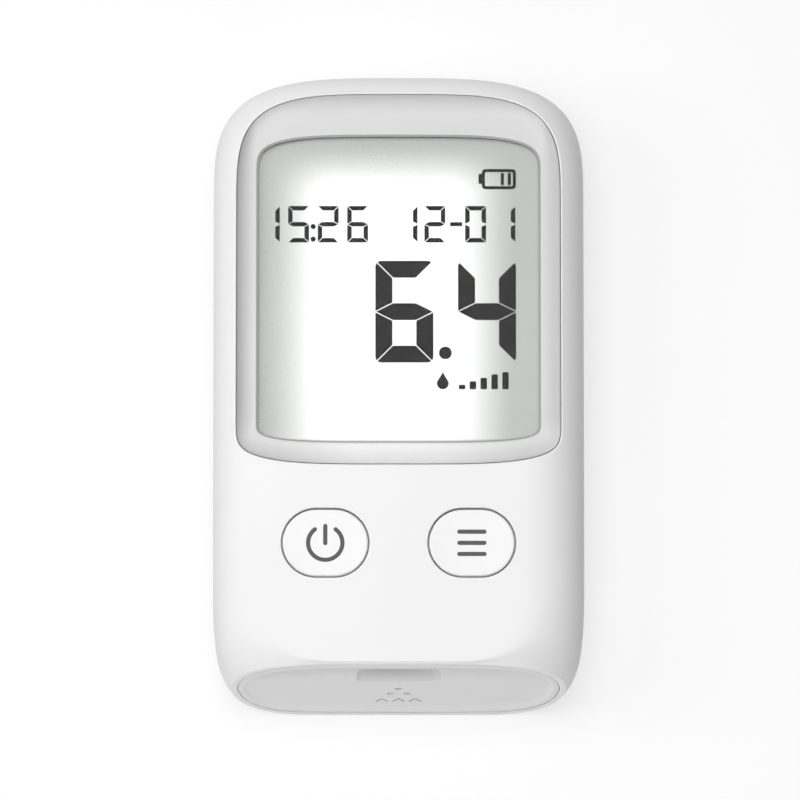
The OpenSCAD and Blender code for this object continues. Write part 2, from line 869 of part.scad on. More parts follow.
module controller_chip() {
    reach = chip_side / 2;
    row_x = -(chip_lead_count - 1) / 2 * chip_lead_pitch - chip_lead_w / 2;
    color("dimgray")
        translate([chip_at[0], chip_at[1], board_under_z]) {
            translate([-reach, -reach, -chip_h - 0.1])
                cube([chip_side, chip_side, chip_h]);
            for (turn = [0 : 3], i = [0 : chip_lead_count - 1])
                rotate([0, 0, 90 * turn])
                    translate([row_x + i * chip_lead_pitch, reach, 0]) {
                        translate([0, -lead_t, -chip_lead_z])
                            cube([chip_lead_w, 3 * lead_t, lead_t]);
                        translate([0, lead_t, -chip_lead_z])
                            cube([chip_lead_w, lead_t, chip_lead_z]);
                        translate([0, lead_t, -lead_t])
                            cube([chip_lead_w, chip_lead_l - lead_t, lead_t]);
                    }
        }
}

module amplifier_chip() {
    size = amplifier_size;
    color("dimgray")
        translate([amplifier_at[0], amplifier_at[1], board_top_z]) {
            translate([-size[0] / 2, -size[1] / 2, 0.1])
                cube(size);
            for (end = [0, 1], i = [0 : 3])
                rotate([0, 0, 180 * end])
                    translate([(i - 1.5) * amplifier_pitch - lead_t, size[1] / 2 - 0.1, 0])
                        cube([2 * lead_t, amplifier_lead + 0.1, amplifier_lead]);
        }
}

module crystal() {
    color("silver")
        translate([crystal_at[0], crystal_at[1], board_under_z - crystal_r]) {
            rotate([90, 0, 0])
                cylinder(r = crystal_r, h = crystal_l, $fn = 32);
            for (side = [-1, 1])
                translate([(side * crystal_pitch - lead_t) / 2, -lead_t, -lead_t / 2])
                    cube([lead_t, crystal_lead_l, lead_t]);
        }
}

module board_capacitors() {
    color("tan")
        for (side = [-1, 1], i = [0 : 3])
            translate([side * (capacitor_x + capacitor_pitch * i), capacitor_y, board_top_z])
                translate([-capacitor_size[0] / 2, 0, 0])
                    cube(capacitor_size);
}

module thermistor() {
    color("darkslategray")
        translate([thermistor_at[0], thermistor_at[1], board_top_z])
            cube(thermistor_size);
}

module buzzer() {
    color("black")
        translate([buzzer_at[0], buzzer_at[1], board_under_z - buzzer_h])
            difference() {
                cylinder(r = buzzer_r, h = buzzer_h, $fn = 64);
                translate([0, 0, -1])
                    cylinder(r = buzzer_hole_r, h = 2, $fn = 32);
            }
}

module strip_socket() {
    floor_z = slot_z - slot_h / 2;
    color("beige")
        difference() {
            block([-socket_w / 2, socket_front, socket_under_z], [socket_w / 2, socket_back, board_under_z]);
            block([-slot_w / 2, socket_front - 1, floor_z],
                  [slot_w / 2, socket_back - slot_stop, slot_z + slot_h / 2]);
            for (i = [0 : contact_count - 1])
                translate([(i - (contact_count - 1) / 2) * contact_pitch, 0, floor_z])
                    block([-contact_w / 2 - loose, socket_back - contact_l - cut, -contact_drop - loose],
                          [contact_w / 2 + loose, socket_back + 1, hair]);
        }
}

module strip_contacts() {
    low = slot_z - slot_h / 2 - contact_drop;
    high = slot_z - slot_h / 2 + contact_bump;
    front = socket_back - contact_l;
    tail = socket_back + 0.5;
    // Side view of one leaf: tail up to the board, run forward, bump into the slot
    leaf = [
        [tail, board_under_z], [tail, low], [front + 4, low], [front + 1.6, high - contact_t],
        [front, high - 0.7], [front, high - 0.5], [front + 1.6, high], [front + 4, low + contact_t],
        [tail - contact_t, low + contact_t], [tail - contact_t, board_under_z]
    ];
    color("gold")
        for (i = [0 : contact_count - 1])
            translate([(i - (contact_count - 1) / 2) * contact_pitch - contact_w / 2, 0, 0])
                rotate([90, 0, 90])
                    linear_extrude(contact_w)
                        polygon(leaf);
}

// ---------- buttons ----------

module button_cap(side) {
    ball_r = (pow(key_w / 2, 2) + pow(key_dish, 2)) / (2 * key_dish);
    cap_top_z = body_t - loose;
    color(shell_white)
        translate([side * key_x, key_y, 0])
            difference() {
                union() {
                    translate([0, 0, flange_under_z])
                        linear_extrude(flange_t)
                            stadium(key_w + 2 * flange_w, key_l + 2 * flange_w);
                    translate([0, 0, flange_under_z])
                        linear_extrude(cap_top_z - flange_under_z)
                            stadium(key_w - 2 * key_gap, key_l - 2 * key_gap);
                }
                translate([0, 0, cap_top_z - key_dish + ball_r])
                    sphere(r = ball_r, $fn = 256);
            }
}

module switch_plunger(side) {
    color("dimgray")
        post([side * key_x, key_y], plunger_r, plunger_under_z, flange_under_z);
}

module switch_body(side) {
    color("silver")
        translate([side * key_x, key_y, 0]) {
            difference() {
                block([-switch_w / 2, -switch_w / 2, board_top_z],
                      [switch_w / 2, switch_w / 2, switch_top_z]);
                post([0, 0], plunger_r + running, switch_floor_z, switch_top_z + 1);
            }
            for (sx = [-1, 1], sy = [-1, 1])
                translate([sx * (switch_w / 2 + pin_out), sy * pin_y, board_top_z])
                    block([-pin_l / 2, -pin_w / 2, 0], [pin_l / 2, pin_w / 2, pin_t]);
        }
}

module power_button() { button_cap(-1); }
module set_button() { button_cap(1); }
module power_plunger() { switch_plunger(-1); }
module set_plunger() { switch_plunger(1); }
module power_switch() { switch_body(-1); }
module set_switch() { switch_body(1); }

// ---------- battery ----------

module battery_door() {
    color(shell_white)
        difference() {
            intersection() {
                rear_form();
                translate([0, door_y, 0])
                    rotate([90, 0, 180])
                        linear_extrude(body_l)
                            polygon([
                                [-door_half_w, door_recess], [-door_half_w - dovetail, door_top_z],
                                [door_half_w + dovetail, door_top_z], [door_half_w, door_recess]
                            ]);
            }
            // Finger grooves
            for (i = [0 : grip_count - 1])
                translate([-grip_l / 2, door_y + grip_start + i * grip_pitch, door_recess - 1])
                    cube([grip_l, grip_w, 1 + grip_depth]);
        }
}

// A cell along Y: can, shoulder and nub; the nub is at high Y
module cell(colour) {
    nub_l = 0.9;
    color(colour)
        rotate([-90, 0, 0])
            rotate_extrude($fn = 72)
                polygon([
                    [0, 0], [cell_r - 0.4, 0], [cell_r, 0.4], [cell_r, cell_l - nub_l - 0.6],
                    [cell_r - 0.6, cell_l - nub_l], [1.85, cell_l - nub_l], [1.85, cell_l], [0, cell_l]
                ]);
}

module left_cell() {
    translate([-cell_x, link_y - cell_l, cell_z])
        cell("steelblue");
}

module right_cell() {
    translate([cell_x, plate_y + cell_l, cell_z])
        rotate([0, 0, 180])
            cell("steelblue");
}

module terminal(side) {
    color("silver") {
        block([side * cell_x - terminal_half_w, tub_start_y, cell_z - terminal_half_w],
              [side * cell_x + terminal_half_w, plate_y, cell_z + terminal_half_w]);
        block([side * cell_x - tail_half_w, tub_start_y, cell_z],
              [side * cell_x + tail_half_w, plate_y, board_under_z]);
    }
}

module negative_terminal() { terminal(-1); }
module positive_terminal() { terminal(1); }

module cell_link() {
    color("silver")
        block([-cell_x - terminal_half_w, link_y, cell_z - terminal_half_w],
              [cell_x + terminal_half_w, tub_end_y, cell_z + terminal_half_w]);
}

// A coil that stands on y = 0 and is l long, with its wire's path worked out turn by turn
module coil(l) {
    per_turn = 12;
    sides = 6;
    count = spring_turns * per_turn;
    climb = l - 2 * wire_r - 2 * hair;
    echo(contact_spring_least_gap = climb / spring_turns - 2 * wire_r);
    rings = [
        for (k = [count : -1 : 0])
            let (a = 360 * k / per_turn, mid_y = wire_r + hair + climb * k / count)
            [
                for (s = [0 : sides - 1])
                    let (b = 360 * s / sides, r = spring_r + wire_r * cos(b))
                    [r * cos(a), mid_y + wire_r * sin(b), r * sin(a)]
            ]
    ];
    loft(rings);
}

module contact_springs() {
    color("silver") {
        translate([-cell_x, plate_y, cell_z])
            coil(link_y - cell_l - plate_y);
        translate([cell_x, plate_y + cell_l, cell_z])
            coil(link_y - plate_y - cell_l);
    }
}

// ---------- fasteners ----------

module screw(head_r, head_t, shank_r, shank_l) {
    rotate_extrude($fn = 48)
        polygon([
            [0, 0], [head_r, 0], [head_r, head_t], [shank_r, head_t],
            [shank_r, head_t + shank_l], [0, head_t + shank_l]
        ]);
}

module case_screws() {
    slot_d = 0.6;
    color("silver")
        at_bosses()
            translate([0, 0, screw_head_z])
                difference() {
                    screw(screw_head_r, screw_head_t, screw_r, screw_end_z - screw_head_z - screw_head_t);
                    for (turn = [0, 90])
                        rotate([0, 0, turn])
                            translate([-1.2, -0.25, -1])
                                cube([2.4, 0.5, 1 + slot_d]);
                }
}

module board_screws() {
    color("silver")
        both_x()
            translate([board_post[0], board_post[1], board_top_z + board_head_t])
                rotate([180, 0, 0])
                    difference() {
                        screw(board_head_r, board_head_t, board_screw_r, board_t + board_screw_l - 0.5);
                        for (turn = [0, 90])
                            rotate([0, 0, turn])
                                translate([-1, -0.2, -1])
                                    cube([2, 0.4, 1.4]);
                    }
}

front_shell();
rear_shell();
port_cap();
display_frame();
display_lens();
lens_adhesive();
dust_gasket();
lcd_front_polariser();
lcd_front_glass();
lcd_rear_glass();
lcd_rear_polariser();
backlight_guide();
backlight_leds();
lcd_holder();
zebra_connector();
main_board();
controller_chip();
amplifier_chip();
crystal();
board_capacitors();
thermistor();
buzzer();
strip_socket();
strip_contacts();
power_button();
power_plunger();
power_switch();
set_button();
set_plunger();
set_switch();
battery_door();
left_cell();
right_cell();
positive_terminal();
negative_terminal();
cell_link();
contact_springs();
case_screws();
board_screws();
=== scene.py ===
"""Looks of the blood glucose meter: smooth mouldings, display, finishes, light and camera.

Sizes are millimetres unless a note says otherwise, and turn into metres when a piece is placed.
The frame is the construction's own: +Z out of the display, +Y towards the display end.
"""

import json
import logging
import math
from collections.abc import Callable, Iterable, Mapping, Sequence
from dataclasses import dataclass, field
from enum import Enum
from typing import Protocol

import bmesh
import bpy
from mathutils import Matrix, Vector

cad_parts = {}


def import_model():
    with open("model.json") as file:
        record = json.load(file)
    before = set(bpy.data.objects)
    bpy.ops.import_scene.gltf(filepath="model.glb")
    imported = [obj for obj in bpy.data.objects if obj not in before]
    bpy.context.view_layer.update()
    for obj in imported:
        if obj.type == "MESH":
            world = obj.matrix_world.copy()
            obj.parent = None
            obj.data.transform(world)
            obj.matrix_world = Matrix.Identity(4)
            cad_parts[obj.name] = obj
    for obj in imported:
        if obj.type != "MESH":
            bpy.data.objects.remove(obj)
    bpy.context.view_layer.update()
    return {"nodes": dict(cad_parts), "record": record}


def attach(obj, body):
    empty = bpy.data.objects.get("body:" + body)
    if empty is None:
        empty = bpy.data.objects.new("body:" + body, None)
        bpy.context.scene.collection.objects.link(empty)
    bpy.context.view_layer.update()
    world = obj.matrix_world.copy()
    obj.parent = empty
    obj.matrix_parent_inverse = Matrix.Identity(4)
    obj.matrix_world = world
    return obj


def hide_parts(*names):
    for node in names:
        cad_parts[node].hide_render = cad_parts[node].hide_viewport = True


LOG = logging.getLogger("meter")

MM = 0.001
ROUND_POWER = 2.2
PARTING_STEP = 0.12
PRINT_LINE = 0.66

Point = tuple[float, float]
Triple = tuple[float, float, float]
Box = tuple[Triple, Triple]
Outline = list[Point]
Ring = list[Vector]
Value = float | Triple | bpy.types.NodeSocket
Inputs = Mapping[str | int, Value]
GroupParts = tuple["Graph", bpy.types.NodeOutputs, bpy.types.Node]
OpenFinish = tuple[bpy.types.Material, "Graph", bpy.types.Node, bpy.types.NodeSocket]


class Body(Enum):
    """The bodies that pieces ride on."""

    CASE = "case"
    POWER_KEY = "power_key"
    SET_KEY = "set_key"
    DOOR = "door"


class Operation(Enum):
    """Ways to combine two solids."""

    CUT = "DIFFERENCE"
    JOIN = "UNION"
    KEEP_COMMON = "INTERSECT"


# ---------- outlines ----------


def drawn_in(depth: float, width: float, height: float, power: float = ROUND_POWER) -> float:
    """How far a rounded edge has drawn in.

    Args:
        depth: Distance past the start of the round.
        width: Full width of the round.
        height: Full height of the round.
        power: Exponent of the round's superellipse.

    Returns:
        The inset at that depth.
    """
    if depth <= 0:
        return 0.0
    share = min(1.0, depth / height)
    return width * (1 - (1 - share**power) ** (1 / power))


def quarter(half_w: float, mid_y: float, reach: float, power: float, turn: Point, steps: int) -> Outline:
    """Part of a superellipse's quarter turn.

    Args:
        half_w: Half width of the superellipse.
        mid_y: Where its middle lies along the case.
        reach: Its reach along the case, negative towards the port.
        power: Its exponent.
        turn: First and last angle, in radians.
        steps: Number of steps between them.

    Returns:
        The points from the first angle to the last.
    """
    points = []
    for i in range(steps + 1):
        angle = turn[0] + (turn[1] - turn[0]) * i / steps
        across = half_w * max(0.0, math.cos(angle)) ** (2 / power)
        along = mid_y + reach * max(0.0, math.sin(angle)) ** (2 / power)
        points.append((across, along))
    return points


def both_sides(right: Outline) -> Outline:
    """The right half of an outline and its mirror image, as one closed outline."""
    return right + [(-x, y) for x, y in reversed(right) if x > 0.001]


def resample(outline: Outline, count: int) -> Outline:
    """Spread points evenly along a closed outline.

    Args:
        outline: The closed outline.
        count: Number of points wanted.

    Returns:
        The evenly spread points, which start at the outline's first point.
    """
    closed = outline + outline[:1]
    lengths = [math.dist(a, b) for a, b in zip(closed, closed[1:])]
    step = sum(lengths) / count
    points, index, passed = [], 0, 0.0
    for k in range(count):
        goal = k * step
        while index < len(lengths) - 1 and passed + lengths[index] < goal:
            passed += lengths[index]
            index += 1
        share = (goal - passed) / max(lengths[index], 1e-9)
        (ax, ay), (bx, by) = closed[index], closed[index + 1]
        points.append((ax + (bx - ax) * share, ay + (by - ay) * share))
    return points


def inset(outline: Outline, gap: float) -> Outline:
    """Draw a closed outline in by a gap, or out where the gap is negative.

    Args:
        outline: The closed outline.
        gap: How far it is drawn in.

    Returns:
        The new outline, with the same number of points.
    """
    edges = list(zip(outline, outline[1:] + outline[:1]))
    area = sum(ax * by - bx * ay for (ax, ay), (bx, by) in edges)
    side = gap if area > 0 else -gap
    normals = []
    for (ax, ay), (bx, by) in edges:
        size = math.hypot(bx - ax, by - ay) or 1.0
        normals.append(((ay - by) / size, (bx - ax) / size))
    points = []
    for i, (x, y) in enumerate(outline):
        (px, py), (nx, ny) = normals[i - 1], normals[i]
        scale = side / max(0.2, 1 + px * nx + py * ny)
        points.append((x + scale * (px + nx), y + scale * (py + ny)))
    return points


def gap_to(outline: Outline, place: Point) -> float:
    """Distance from a place to a closed outline."""
    nearest = math.inf
    x, y = place
    for i, (bx, by) in enumerate(outline):
        ax, ay = outline[i - 1]
        dx, dy = bx - ax, by - ay
        share = ((x - ax) * dx + (y - ay) * dy) / max(1e-12, dx * dx + dy * dy)
        share = min(1.0, max(0.0, share))
        nearest = min(nearest, math.hypot(x - ax - share * dx, y - ay - share * dy))
    return nearest


def shrunk(outline: Outline, gap: float) -> Outline:
    """Draw an outline in, without the loops that tight corners would make.

    Args:
        outline: The closed outline.
        gap: How far it is drawn in.

    Returns:
        The new outline, with the same number of evenly spread points.
    """
    if gap <= 0:
        return outline
    kept = [place for place in inset(outline, gap) if gap_to(outline, place) > gap - 0.004]
    return resample(kept, len(outline))


def softened(outline: Outline, radius: float, steps: int = 3) -> Outline:
    """Round a polygon's corners.

    Args:
        outline: The polygon.
        radius: How far each round reaches along its edges.
        steps: Steps in each round.

    Returns:
        The rounded outline.
    """
    points = []
    for i, (x, y) in enumerate(outline):
        ends = []
        for ox, oy in (outline[i - 1], outline[(i + 1) % len(outline)]):
            share = min(0.45, radius / max(1e-6, math.hypot(ox - x, oy - y)))
            ends.append((x + (ox - x) * share, y + (oy - y) * share))
        (ax, ay), (bx, by) = ends
        for k in range(steps + 1):
            t = k / steps
            points.append(((1 - t) ** 2 * ax + 2 * t * (1 - t) * x + t * t * bx,
                           (1 - t) ** 2 * ay + 2 * t * (1 - t) * y + t * t * by))
    return points


def stadium(width: float, length: float, steps: int = 32) -> Outline:
    """A bar with half-round ends.

    Args:
        width: Size along X.
        length: Size along Y, not more than the width.
        steps: Steps in each half-round end.

    Returns:
        The outline's points.
    """
    radius, straight = length / 2, (width - length) / 2
    points = []
    for side in (1, -1):
        for i in range(steps + 1):
            angle = math.radians(-90 + 180 * i / steps)
            points.append((side * (straight + radius * math.cos(angle)), side * radius * math.sin(angle)))
    return points


def ellipse(centre: Point, half_w: float, half_l: float, count: int) -> Outline:
    """Points spread round an ellipse."""
    turns = [2 * math.pi * k / count for k in range(count)]
    return [(centre[0] + half_w * math.cos(t), centre[1] + half_l * math.sin(t)) for t in turns]


def round_box(width: float, length: float, radius: float, steps: int = 8) -> Outline:
    """A rectangle with round corners, centred on the origin."""
    points = []
    corners = ((1, -1, -90), (1, 1, 0), (-1, 1, 90), (-1, -1, 180))
    for sx, sy, start in corners:
        for i in range(steps + 1):
            angle = math.radians(start + 90 * i / steps)
            points.append((
                sx * (width / 2 - radius) + radius * math.cos(angle),
                sy * (length / 2 - radius) + radius * math.sin(angle),
            ))
    return points


def oblong(low: Point, high: Point) -> Outline:
    """A rectangle from its lower left to its upper right corner."""
    (x0, y0), (x1, y1) = low, high
    return [(x0, y0), (x1, y0), (x1, y1), (x0, y1)]


def stroke(path: Outline, width: float, steps: int = 8) -> Outline:
    """A line of even width with round ends.

    Args:
        path: The points that the line follows.
        width: The line's width.
        steps: Steps in each round end.

    Returns:
        The line's outline.
    """
    half, sides, caps = width / 2, ([], []), []
    for i, (x, y) in enumerate(path):
        (ax, ay), (bx, by) = path[max(i - 1, 0)], path[min(i + 1, len(path) - 1)]
        angle = math.atan2(by - ay, bx - ax)
        for side, points in zip((1, -1), sides):
            points.append((x - side * half * math.sin(angle), y + side * half * math.cos(angle)))
        caps.append(angle)
    ends = []
    for at, side in ((0, -half), (-1, half)):
        turns = [caps[at] + math.pi * k / steps for k in range(1, steps)]
        ends.append([(path[at][0] + side * math.sin(t), path[at][1] - side * math.cos(t)) for t in turns])
    return list(reversed(sides[0])) + ends[0] + sides[1] + ends[1]


def level(outline: Iterable[Point], z: float) -> Ring:
    """An outline laid flat at a height."""
    return [Vector((x, y, z)) for x, y in outline]


def edge_round(radius: float, angles: Iterable[float]) -> list[Point]:
    """How far a rounded edge lies in and how far down, at each of these angles in degrees."""
    turns = [math.radians(angle) for angle in angles]
    return [(radius * (1 - math.cos(t)), radius * (1 - math.sin(t))) for t in turns]


# ---------- solids ----------


class Solid:
    """A closed mesh in millimetres, which others can be joined to or cut from."""

    def __init__(self, bm: bmesh.types.BMesh) -> None:
        """Take over a bmesh and turn its faces outwards."""
        bmesh.ops.remove_doubles(bm, verts=bm.verts, dist=1e-5)
        bmesh.ops.recalc_face_normals(bm, faces=bm.faces)
        self.mesh = bpy.data.meshes.new("solid")
        bm.to_mesh(self.mesh)
        bm.free()

    def combine(self, other: "Solid", operation: Operation) -> "Solid":
        """Join, cut or intersect with another solid, which is used up.

        Args:
            other: The other solid.
            operation: How the two are combined.

        Returns:
            This solid.
        """
        first, second = (bpy.data.objects.new("tool", s.mesh) for s in (self, other))
        for obj in (first, second):
            bpy.context.scene.collection.objects.link(obj)
        modifier = first.modifiers.new("combine", "BOOLEAN")
        modifier.object, modifier.operation, modifier.solver = second, operation.value, "EXACT"
        graph = bpy.context.evaluated_depsgraph_get()
        result = bpy.data.meshes.new_from_object(first.evaluated_get(graph))
        for obj, solid in ((first, self), (second, other)):
            bpy.data.objects.remove(obj)
            bpy.data.meshes.remove(solid.mesh)
        self.mesh = result
        return self

    def cut(self, *tools: "Solid") -> "Solid":
        """Cut each tool from this solid."""
        for tool in tools:
            self.combine(tool, Operation.CUT)
        return self

    def join(self, *parts: "Solid") -> "Solid":
        """Join each part to this solid."""
        for part in parts:
            self.combine(part, Operation.JOIN)
        return self

    def moved(self, matrix: Matrix) -> "Solid":
        """Move, turn or mirror this solid."""
        self.mesh.transform(matrix)
        if matrix.determinant() < 0:
            self.mesh.flip_normals()
        return self


def lay_ring(bm: bmesh.types.BMesh, ring: Ring) -> list[bmesh.types.BMVert]:
    """Start a surface with a circle that is laid on a ring's points."""
    verts = bmesh.ops.create_circle(bm, segments=len(ring), radius=1.0)["verts"]
    for vert, place in zip(verts, ring):
        vert.co = place
    return verts


def rim_edges(bm: bmesh.types.BMesh, rim: Sequence[bmesh.types.BMVert]) -> list[bmesh.types.BMEdge]:
    """The edges round a closed rim."""
    return [bm.edges.get((rim[i - 1], rim[i])) for i in range(len(rim))]


def grow(bm: bmesh.types.BMesh, rim: list[bmesh.types.BMVert], ring: Ring) -> list[bmesh.types.BMVert]:
    """Extrude a rim and lay its new edge on a ring's points.

    Args:
        bm: The mesh that grows.
        rim: The closed rim it grows from, in order.
        ring: Places of the new rim, in the same order.

    Returns:
        The new rim.
    """
    made = bmesh.ops.extrude_edge_only(bm, edges=rim_edges(bm, rim))["geom"]
    new = {item for item in made if isinstance(item, bmesh.types.BMVert)}
    grown = []
    for vert, place in zip(rim, ring):
        twin = next(e.other_vert(vert) for e in vert.link_edges if e.other_vert(vert) in new)
        twin.co = place
        grown.append(twin)
    return grown


def loft(rings: Sequence[Ring], looped: bool = False) -> Solid:
    """A solid lofted through rings with the same number of points.

    Args:
        rings: The rings, from one end to the other.
        looped: True where the last ring meets the first, as in a frame.

    Returns:
        The closed solid.
    """
    bm = bmesh.new()
    first = rim = lay_ring(bm, rings[0])
    for ring in rings[1:]:
        rim = grow(bm, rim, ring)
    if looped:
        bmesh.ops.bridge_loops(bm, edges=rim_edges(bm, first) + rim_edges(bm, rim))
    else:
        for end in (first, rim):
            bmesh.ops.contextual_create(bm, geom=rim_edges(bm, end))
    return Solid(bm)


def slab(outline: Outline, low: float, high: float) -> Solid:
    """A flat outline with thickness, between two heights."""
    return loft([level(outline, low), level(outline, high)])


def block(low: Sequence[float], high: Sequence[float]) -> Solid:
    """A box from one corner to the other."""
    bm = bmesh.new()
    size = [b - a for a, b in zip(low, high)]
    middle = [(a + b) / 2 for a, b in zip(low, high)]
    bmesh.ops.create_cube(bm, size=1.0, matrix=Matrix.Translation(middle) @ Matrix.Diagonal((*size, 1)))
    return Solid(bm)


def rod(at: Point, radius: float, low: float, high: float, segments: int = 48) -> Solid:
    """An upright round bar."""
    bm = bmesh.new()
    middle = Matrix.Translation((at[0], at[1], (low + high) / 2))
    bmesh.ops.create_cone(bm, cap_ends=True, segments=segments, radius1=radius, radius2=radius,
                          depth=high - low, matrix=middle)
    return Solid(bm)


# ---------- finishes ----------


class Graph:
    """A node tree, with short ways to add nodes and link them."""

    def __init__(self, tree: bpy.types.NodeTree) -> None:
        """Take over a tree."""
        self.tree = tree

    def fill(self, node: bpy.types.Node, inputs: Inputs) -> None:
        """Set or link a node's inputs.

        Args:
            node: The node.
            inputs: A value or a socket for each input, by its name or place. Colours get an alpha of 1.
        """
        for key, value in inputs.items():
            socket = node.inputs[key]
            if isinstance(value, bpy.types.NodeSocket):
                self.tree.links.new(value, socket)
            elif isinstance(value, tuple) and len(socket.default_value) > len(value):
                socket.default_value = (*value, 1.0)
            else:
                socket.default_value = value

    def node(self, kind: str, inputs: Inputs | None = None, **settings: object) -> bpy.types.Node:
        """Add a shader node.

        Args:
            kind: The node's type, without its prefix.
            inputs: A value or a socket for each input.
            settings: Properties of the node itself.

        Returns:
            The node.
        """
        made = self.tree.nodes.new("ShaderNode" + kind)
        for key, value in settings.items():
            setattr(made, key, value)
        self.fill(made, inputs or {})
        return made

    def math(self, operation: str, first: Value, second: Value = 0.0,
             clamp: bool = False) -> bpy.types.NodeSocket:
        """One step of arithmetic."""
        return self.node("Math", {0: first, 1: second}, operation=operation, use_clamp=clamp).outputs["Value"]

    def mix(self, factor: Value, first: Value, second: Value, blend: str = "MIX") -> bpy.types.NodeSocket:
        """Two colours blended by a factor."""
        inputs = {"Factor": factor, "A": first, "B": second}
        return self.node("Mix", inputs, data_type="RGBA", blend_type=blend).outputs["Result"]

    def mapped(self, value: Value, to: tuple[Value, Value], ends: Point = (0.0, 1.0),
               kind: str = "LINEAR") -> bpy.types.NodeSocket:
        """Map a value from one range to another.

        Args:
            value: The value.
            to: The result at the first and at the second end, kept past them.
            ends: Where the range starts and ends.
            kind: The way between the ends.

        Returns:
            The result's socket.
        """
        inputs = {"Value": value, "From Min": ends[0], "From Max": ends[1], "To Min": to[0], "To Max": to[1]}
        return self.node("MapRange", inputs, interpolation_type=kind).outputs["Result"]

    def step(self, value: Value, ends: Point, low: float = 0.0,
             kind: str = "SMOOTHSTEP") -> bpy.types.NodeSocket:
        """A step along a coordinate, between two places in millimetres, from a low value to 1."""
        return self.mapped(value, (low, 1.0), (ends[0] * MM, ends[1] * MM), kind)

    def place(self) -> bpy.types.NodeOutputs:
        """The place on a piece, split into X, Y and Z."""
        return self.node("SeparateXYZ", {"Vector": self.node("TexCoord").outputs["Object"]}).outputs

    def grain(self, groups: "Groups", **inputs: float) -> bpy.types.NodeOutputs:
        """The moulded texture's height and tone."""
        return self.node("Group", inputs, node_tree=groups.grain).outputs


class Groups:
    """Shader node groups that several finishes share, each built once."""

    def __init__(self) -> None:
        """Build the groups."""
        self.grain = self._grain()
        self.wear = self._wear()

    @staticmethod
    def _started(name: str, inputs: dict[str, float], outputs: Sequence[str]) -> GroupParts:
        """Start a group with float sockets: its graph, what it is given and what it gives."""
        tree = bpy.data.node_groups.new(name, "ShaderNodeTree")
        for label, value in inputs.items():
            socket = tree.interface.new_socket(label, in_out="INPUT", socket_type="NodeSocketFloat")
            socket.default_value = value
        for label in outputs:
            tree.interface.new_socket(label, in_out="OUTPUT", socket_type="NodeSocketFloat")
        return Graph(tree), tree.nodes.new("NodeGroupInput").outputs, tree.nodes.new("NodeGroupOutput")

    def _grain(self) -> bpy.types.NodeTree:
        """Moulded texture: a fine height and a slow tone, both from 0 to 1."""
        inputs = {"Fine": 3500.0, "Broad": 60.0}
        graph, given, result = self._started("moulded_grain", inputs, ("Height", "Tone"))
        place = graph.node("TexCoord").outputs["Object"]
        for label, detail, output in (("Fine", 3.0, "Height"), ("Broad", 2.0, "Tone")):
            noise = graph.node("TexNoise", {"Vector": place, "Scale": given[label], "Detail": detail})
            graph.fill(result, {output: noise.outputs["Fac"]})
        return graph.tree

    def _wear(self) -> bpy.types.NodeTree:
        """A mask that is 1 on worn edges, broken up by noise."""
        graph, given, result = self._started("edge_wear", {"Radius": 0.0003, "Patch": 900.0}, ("Mask",))
        soft = graph.node("Bevel", {"Radius": given["Radius"]}, samples=4).outputs["Normal"]
        plain = graph.node("NewGeometry").outputs["Normal"]
        alike = graph.node("VectorMath", {0: soft, 1: plain}, operation="DOT_PRODUCT").outputs["Value"]
        edge = graph.mapped(alike, (0.0, 1.0), (0.995, 0.86))
        place = graph.node("TexCoord").outputs["Object"]
        noise = graph.node("TexNoise", {"Vector": place, "Scale": given["Patch"]}).outputs["Fac"]
        graph.fill(result, {"Mask": graph.math("MULTIPLY", edge, noise)})
        return graph.tree


def new_material(name: str) -> tuple[bpy.types.Material, Graph, bpy.types.Node]:
    """A new material, its graph and its main shader."""
    made = bpy.data.materials.new(name)
    made.use_nodes = True
    return made, Graph(made.node_tree), made.node_tree.nodes["Principled BSDF"]


class Surface(Protocol):
    """Any finish: it has a name and builds its material."""

    @property
    def name(self) -> str:
        """The material's name."""

    def material(self, groups: Groups) -> bpy.types.Material:
        """Build the material."""


@dataclass(frozen=True)
class Finish:
    """A surface finish with grain, slow tone changes and worn edges.

    Colours are linear RGB, and the bump's height is in millimetres.
    """

    name: str
    colour: Triple
    roughness: float = 0.45
    metallic: float = 0.0
    coat: float = 0.0
    specular: float = 0.5
    tone: float = 0.02
    bump: float = 0.02
    coat_roughness: float = 0.12
    roughness_span: float = 0.05
    wear: float = 0.03

    def material(self, groups: Groups) -> bpy.types.Material:
        """Build the finish's material.

        Args:
            groups: The shared node groups.

        Returns:
            The material.
        """
        made, graph, shader = new_material(self.name)
        grain = graph.grain(groups)
        worn = graph.node("Group", node_tree=groups.wear).outputs["Mask"]
        deeper = tuple(c * (1 - 2 * self.tone) for c in self.colour)
        paler = tuple(min(1.0, c * (1 + 2 * self.wear)) for c in self.colour)
        bump = graph.node("Bump", {"Strength": 1.0, "Distance": self.bump * MM, "Height": grain["Height"]})
        rough = (self.roughness - self.roughness_span, self.roughness + self.roughness_span)
        graph.fill(shader, {
            "Metallic": self.metallic,
            "Coat Weight": self.coat,
            "Coat Roughness": self.coat_roughness,
            "Specular IOR Level": self.specular,
            "Base Color": graph.mix(worn, graph.mix(grain["Tone"], self.colour, deeper), paler),
            "Roughness": graph.mapped(grain["Tone"], rough),
            "Normal": bump.outputs["Normal"],
        })
        return made

    def reopened(self, groups: Groups) -> OpenFinish:
        """This finish's material, for more layers of colour.

        Args:
            groups: The shared node groups.

        Returns:
            The material, its graph, its main shader and the socket of its colour.
        """
        made = self.material(groups)
        shader = made.node_tree.nodes["Principled BSDF"]
        return made, Graph(made.node_tree), shader, shader.inputs["Base Color"].links[0].from_socket


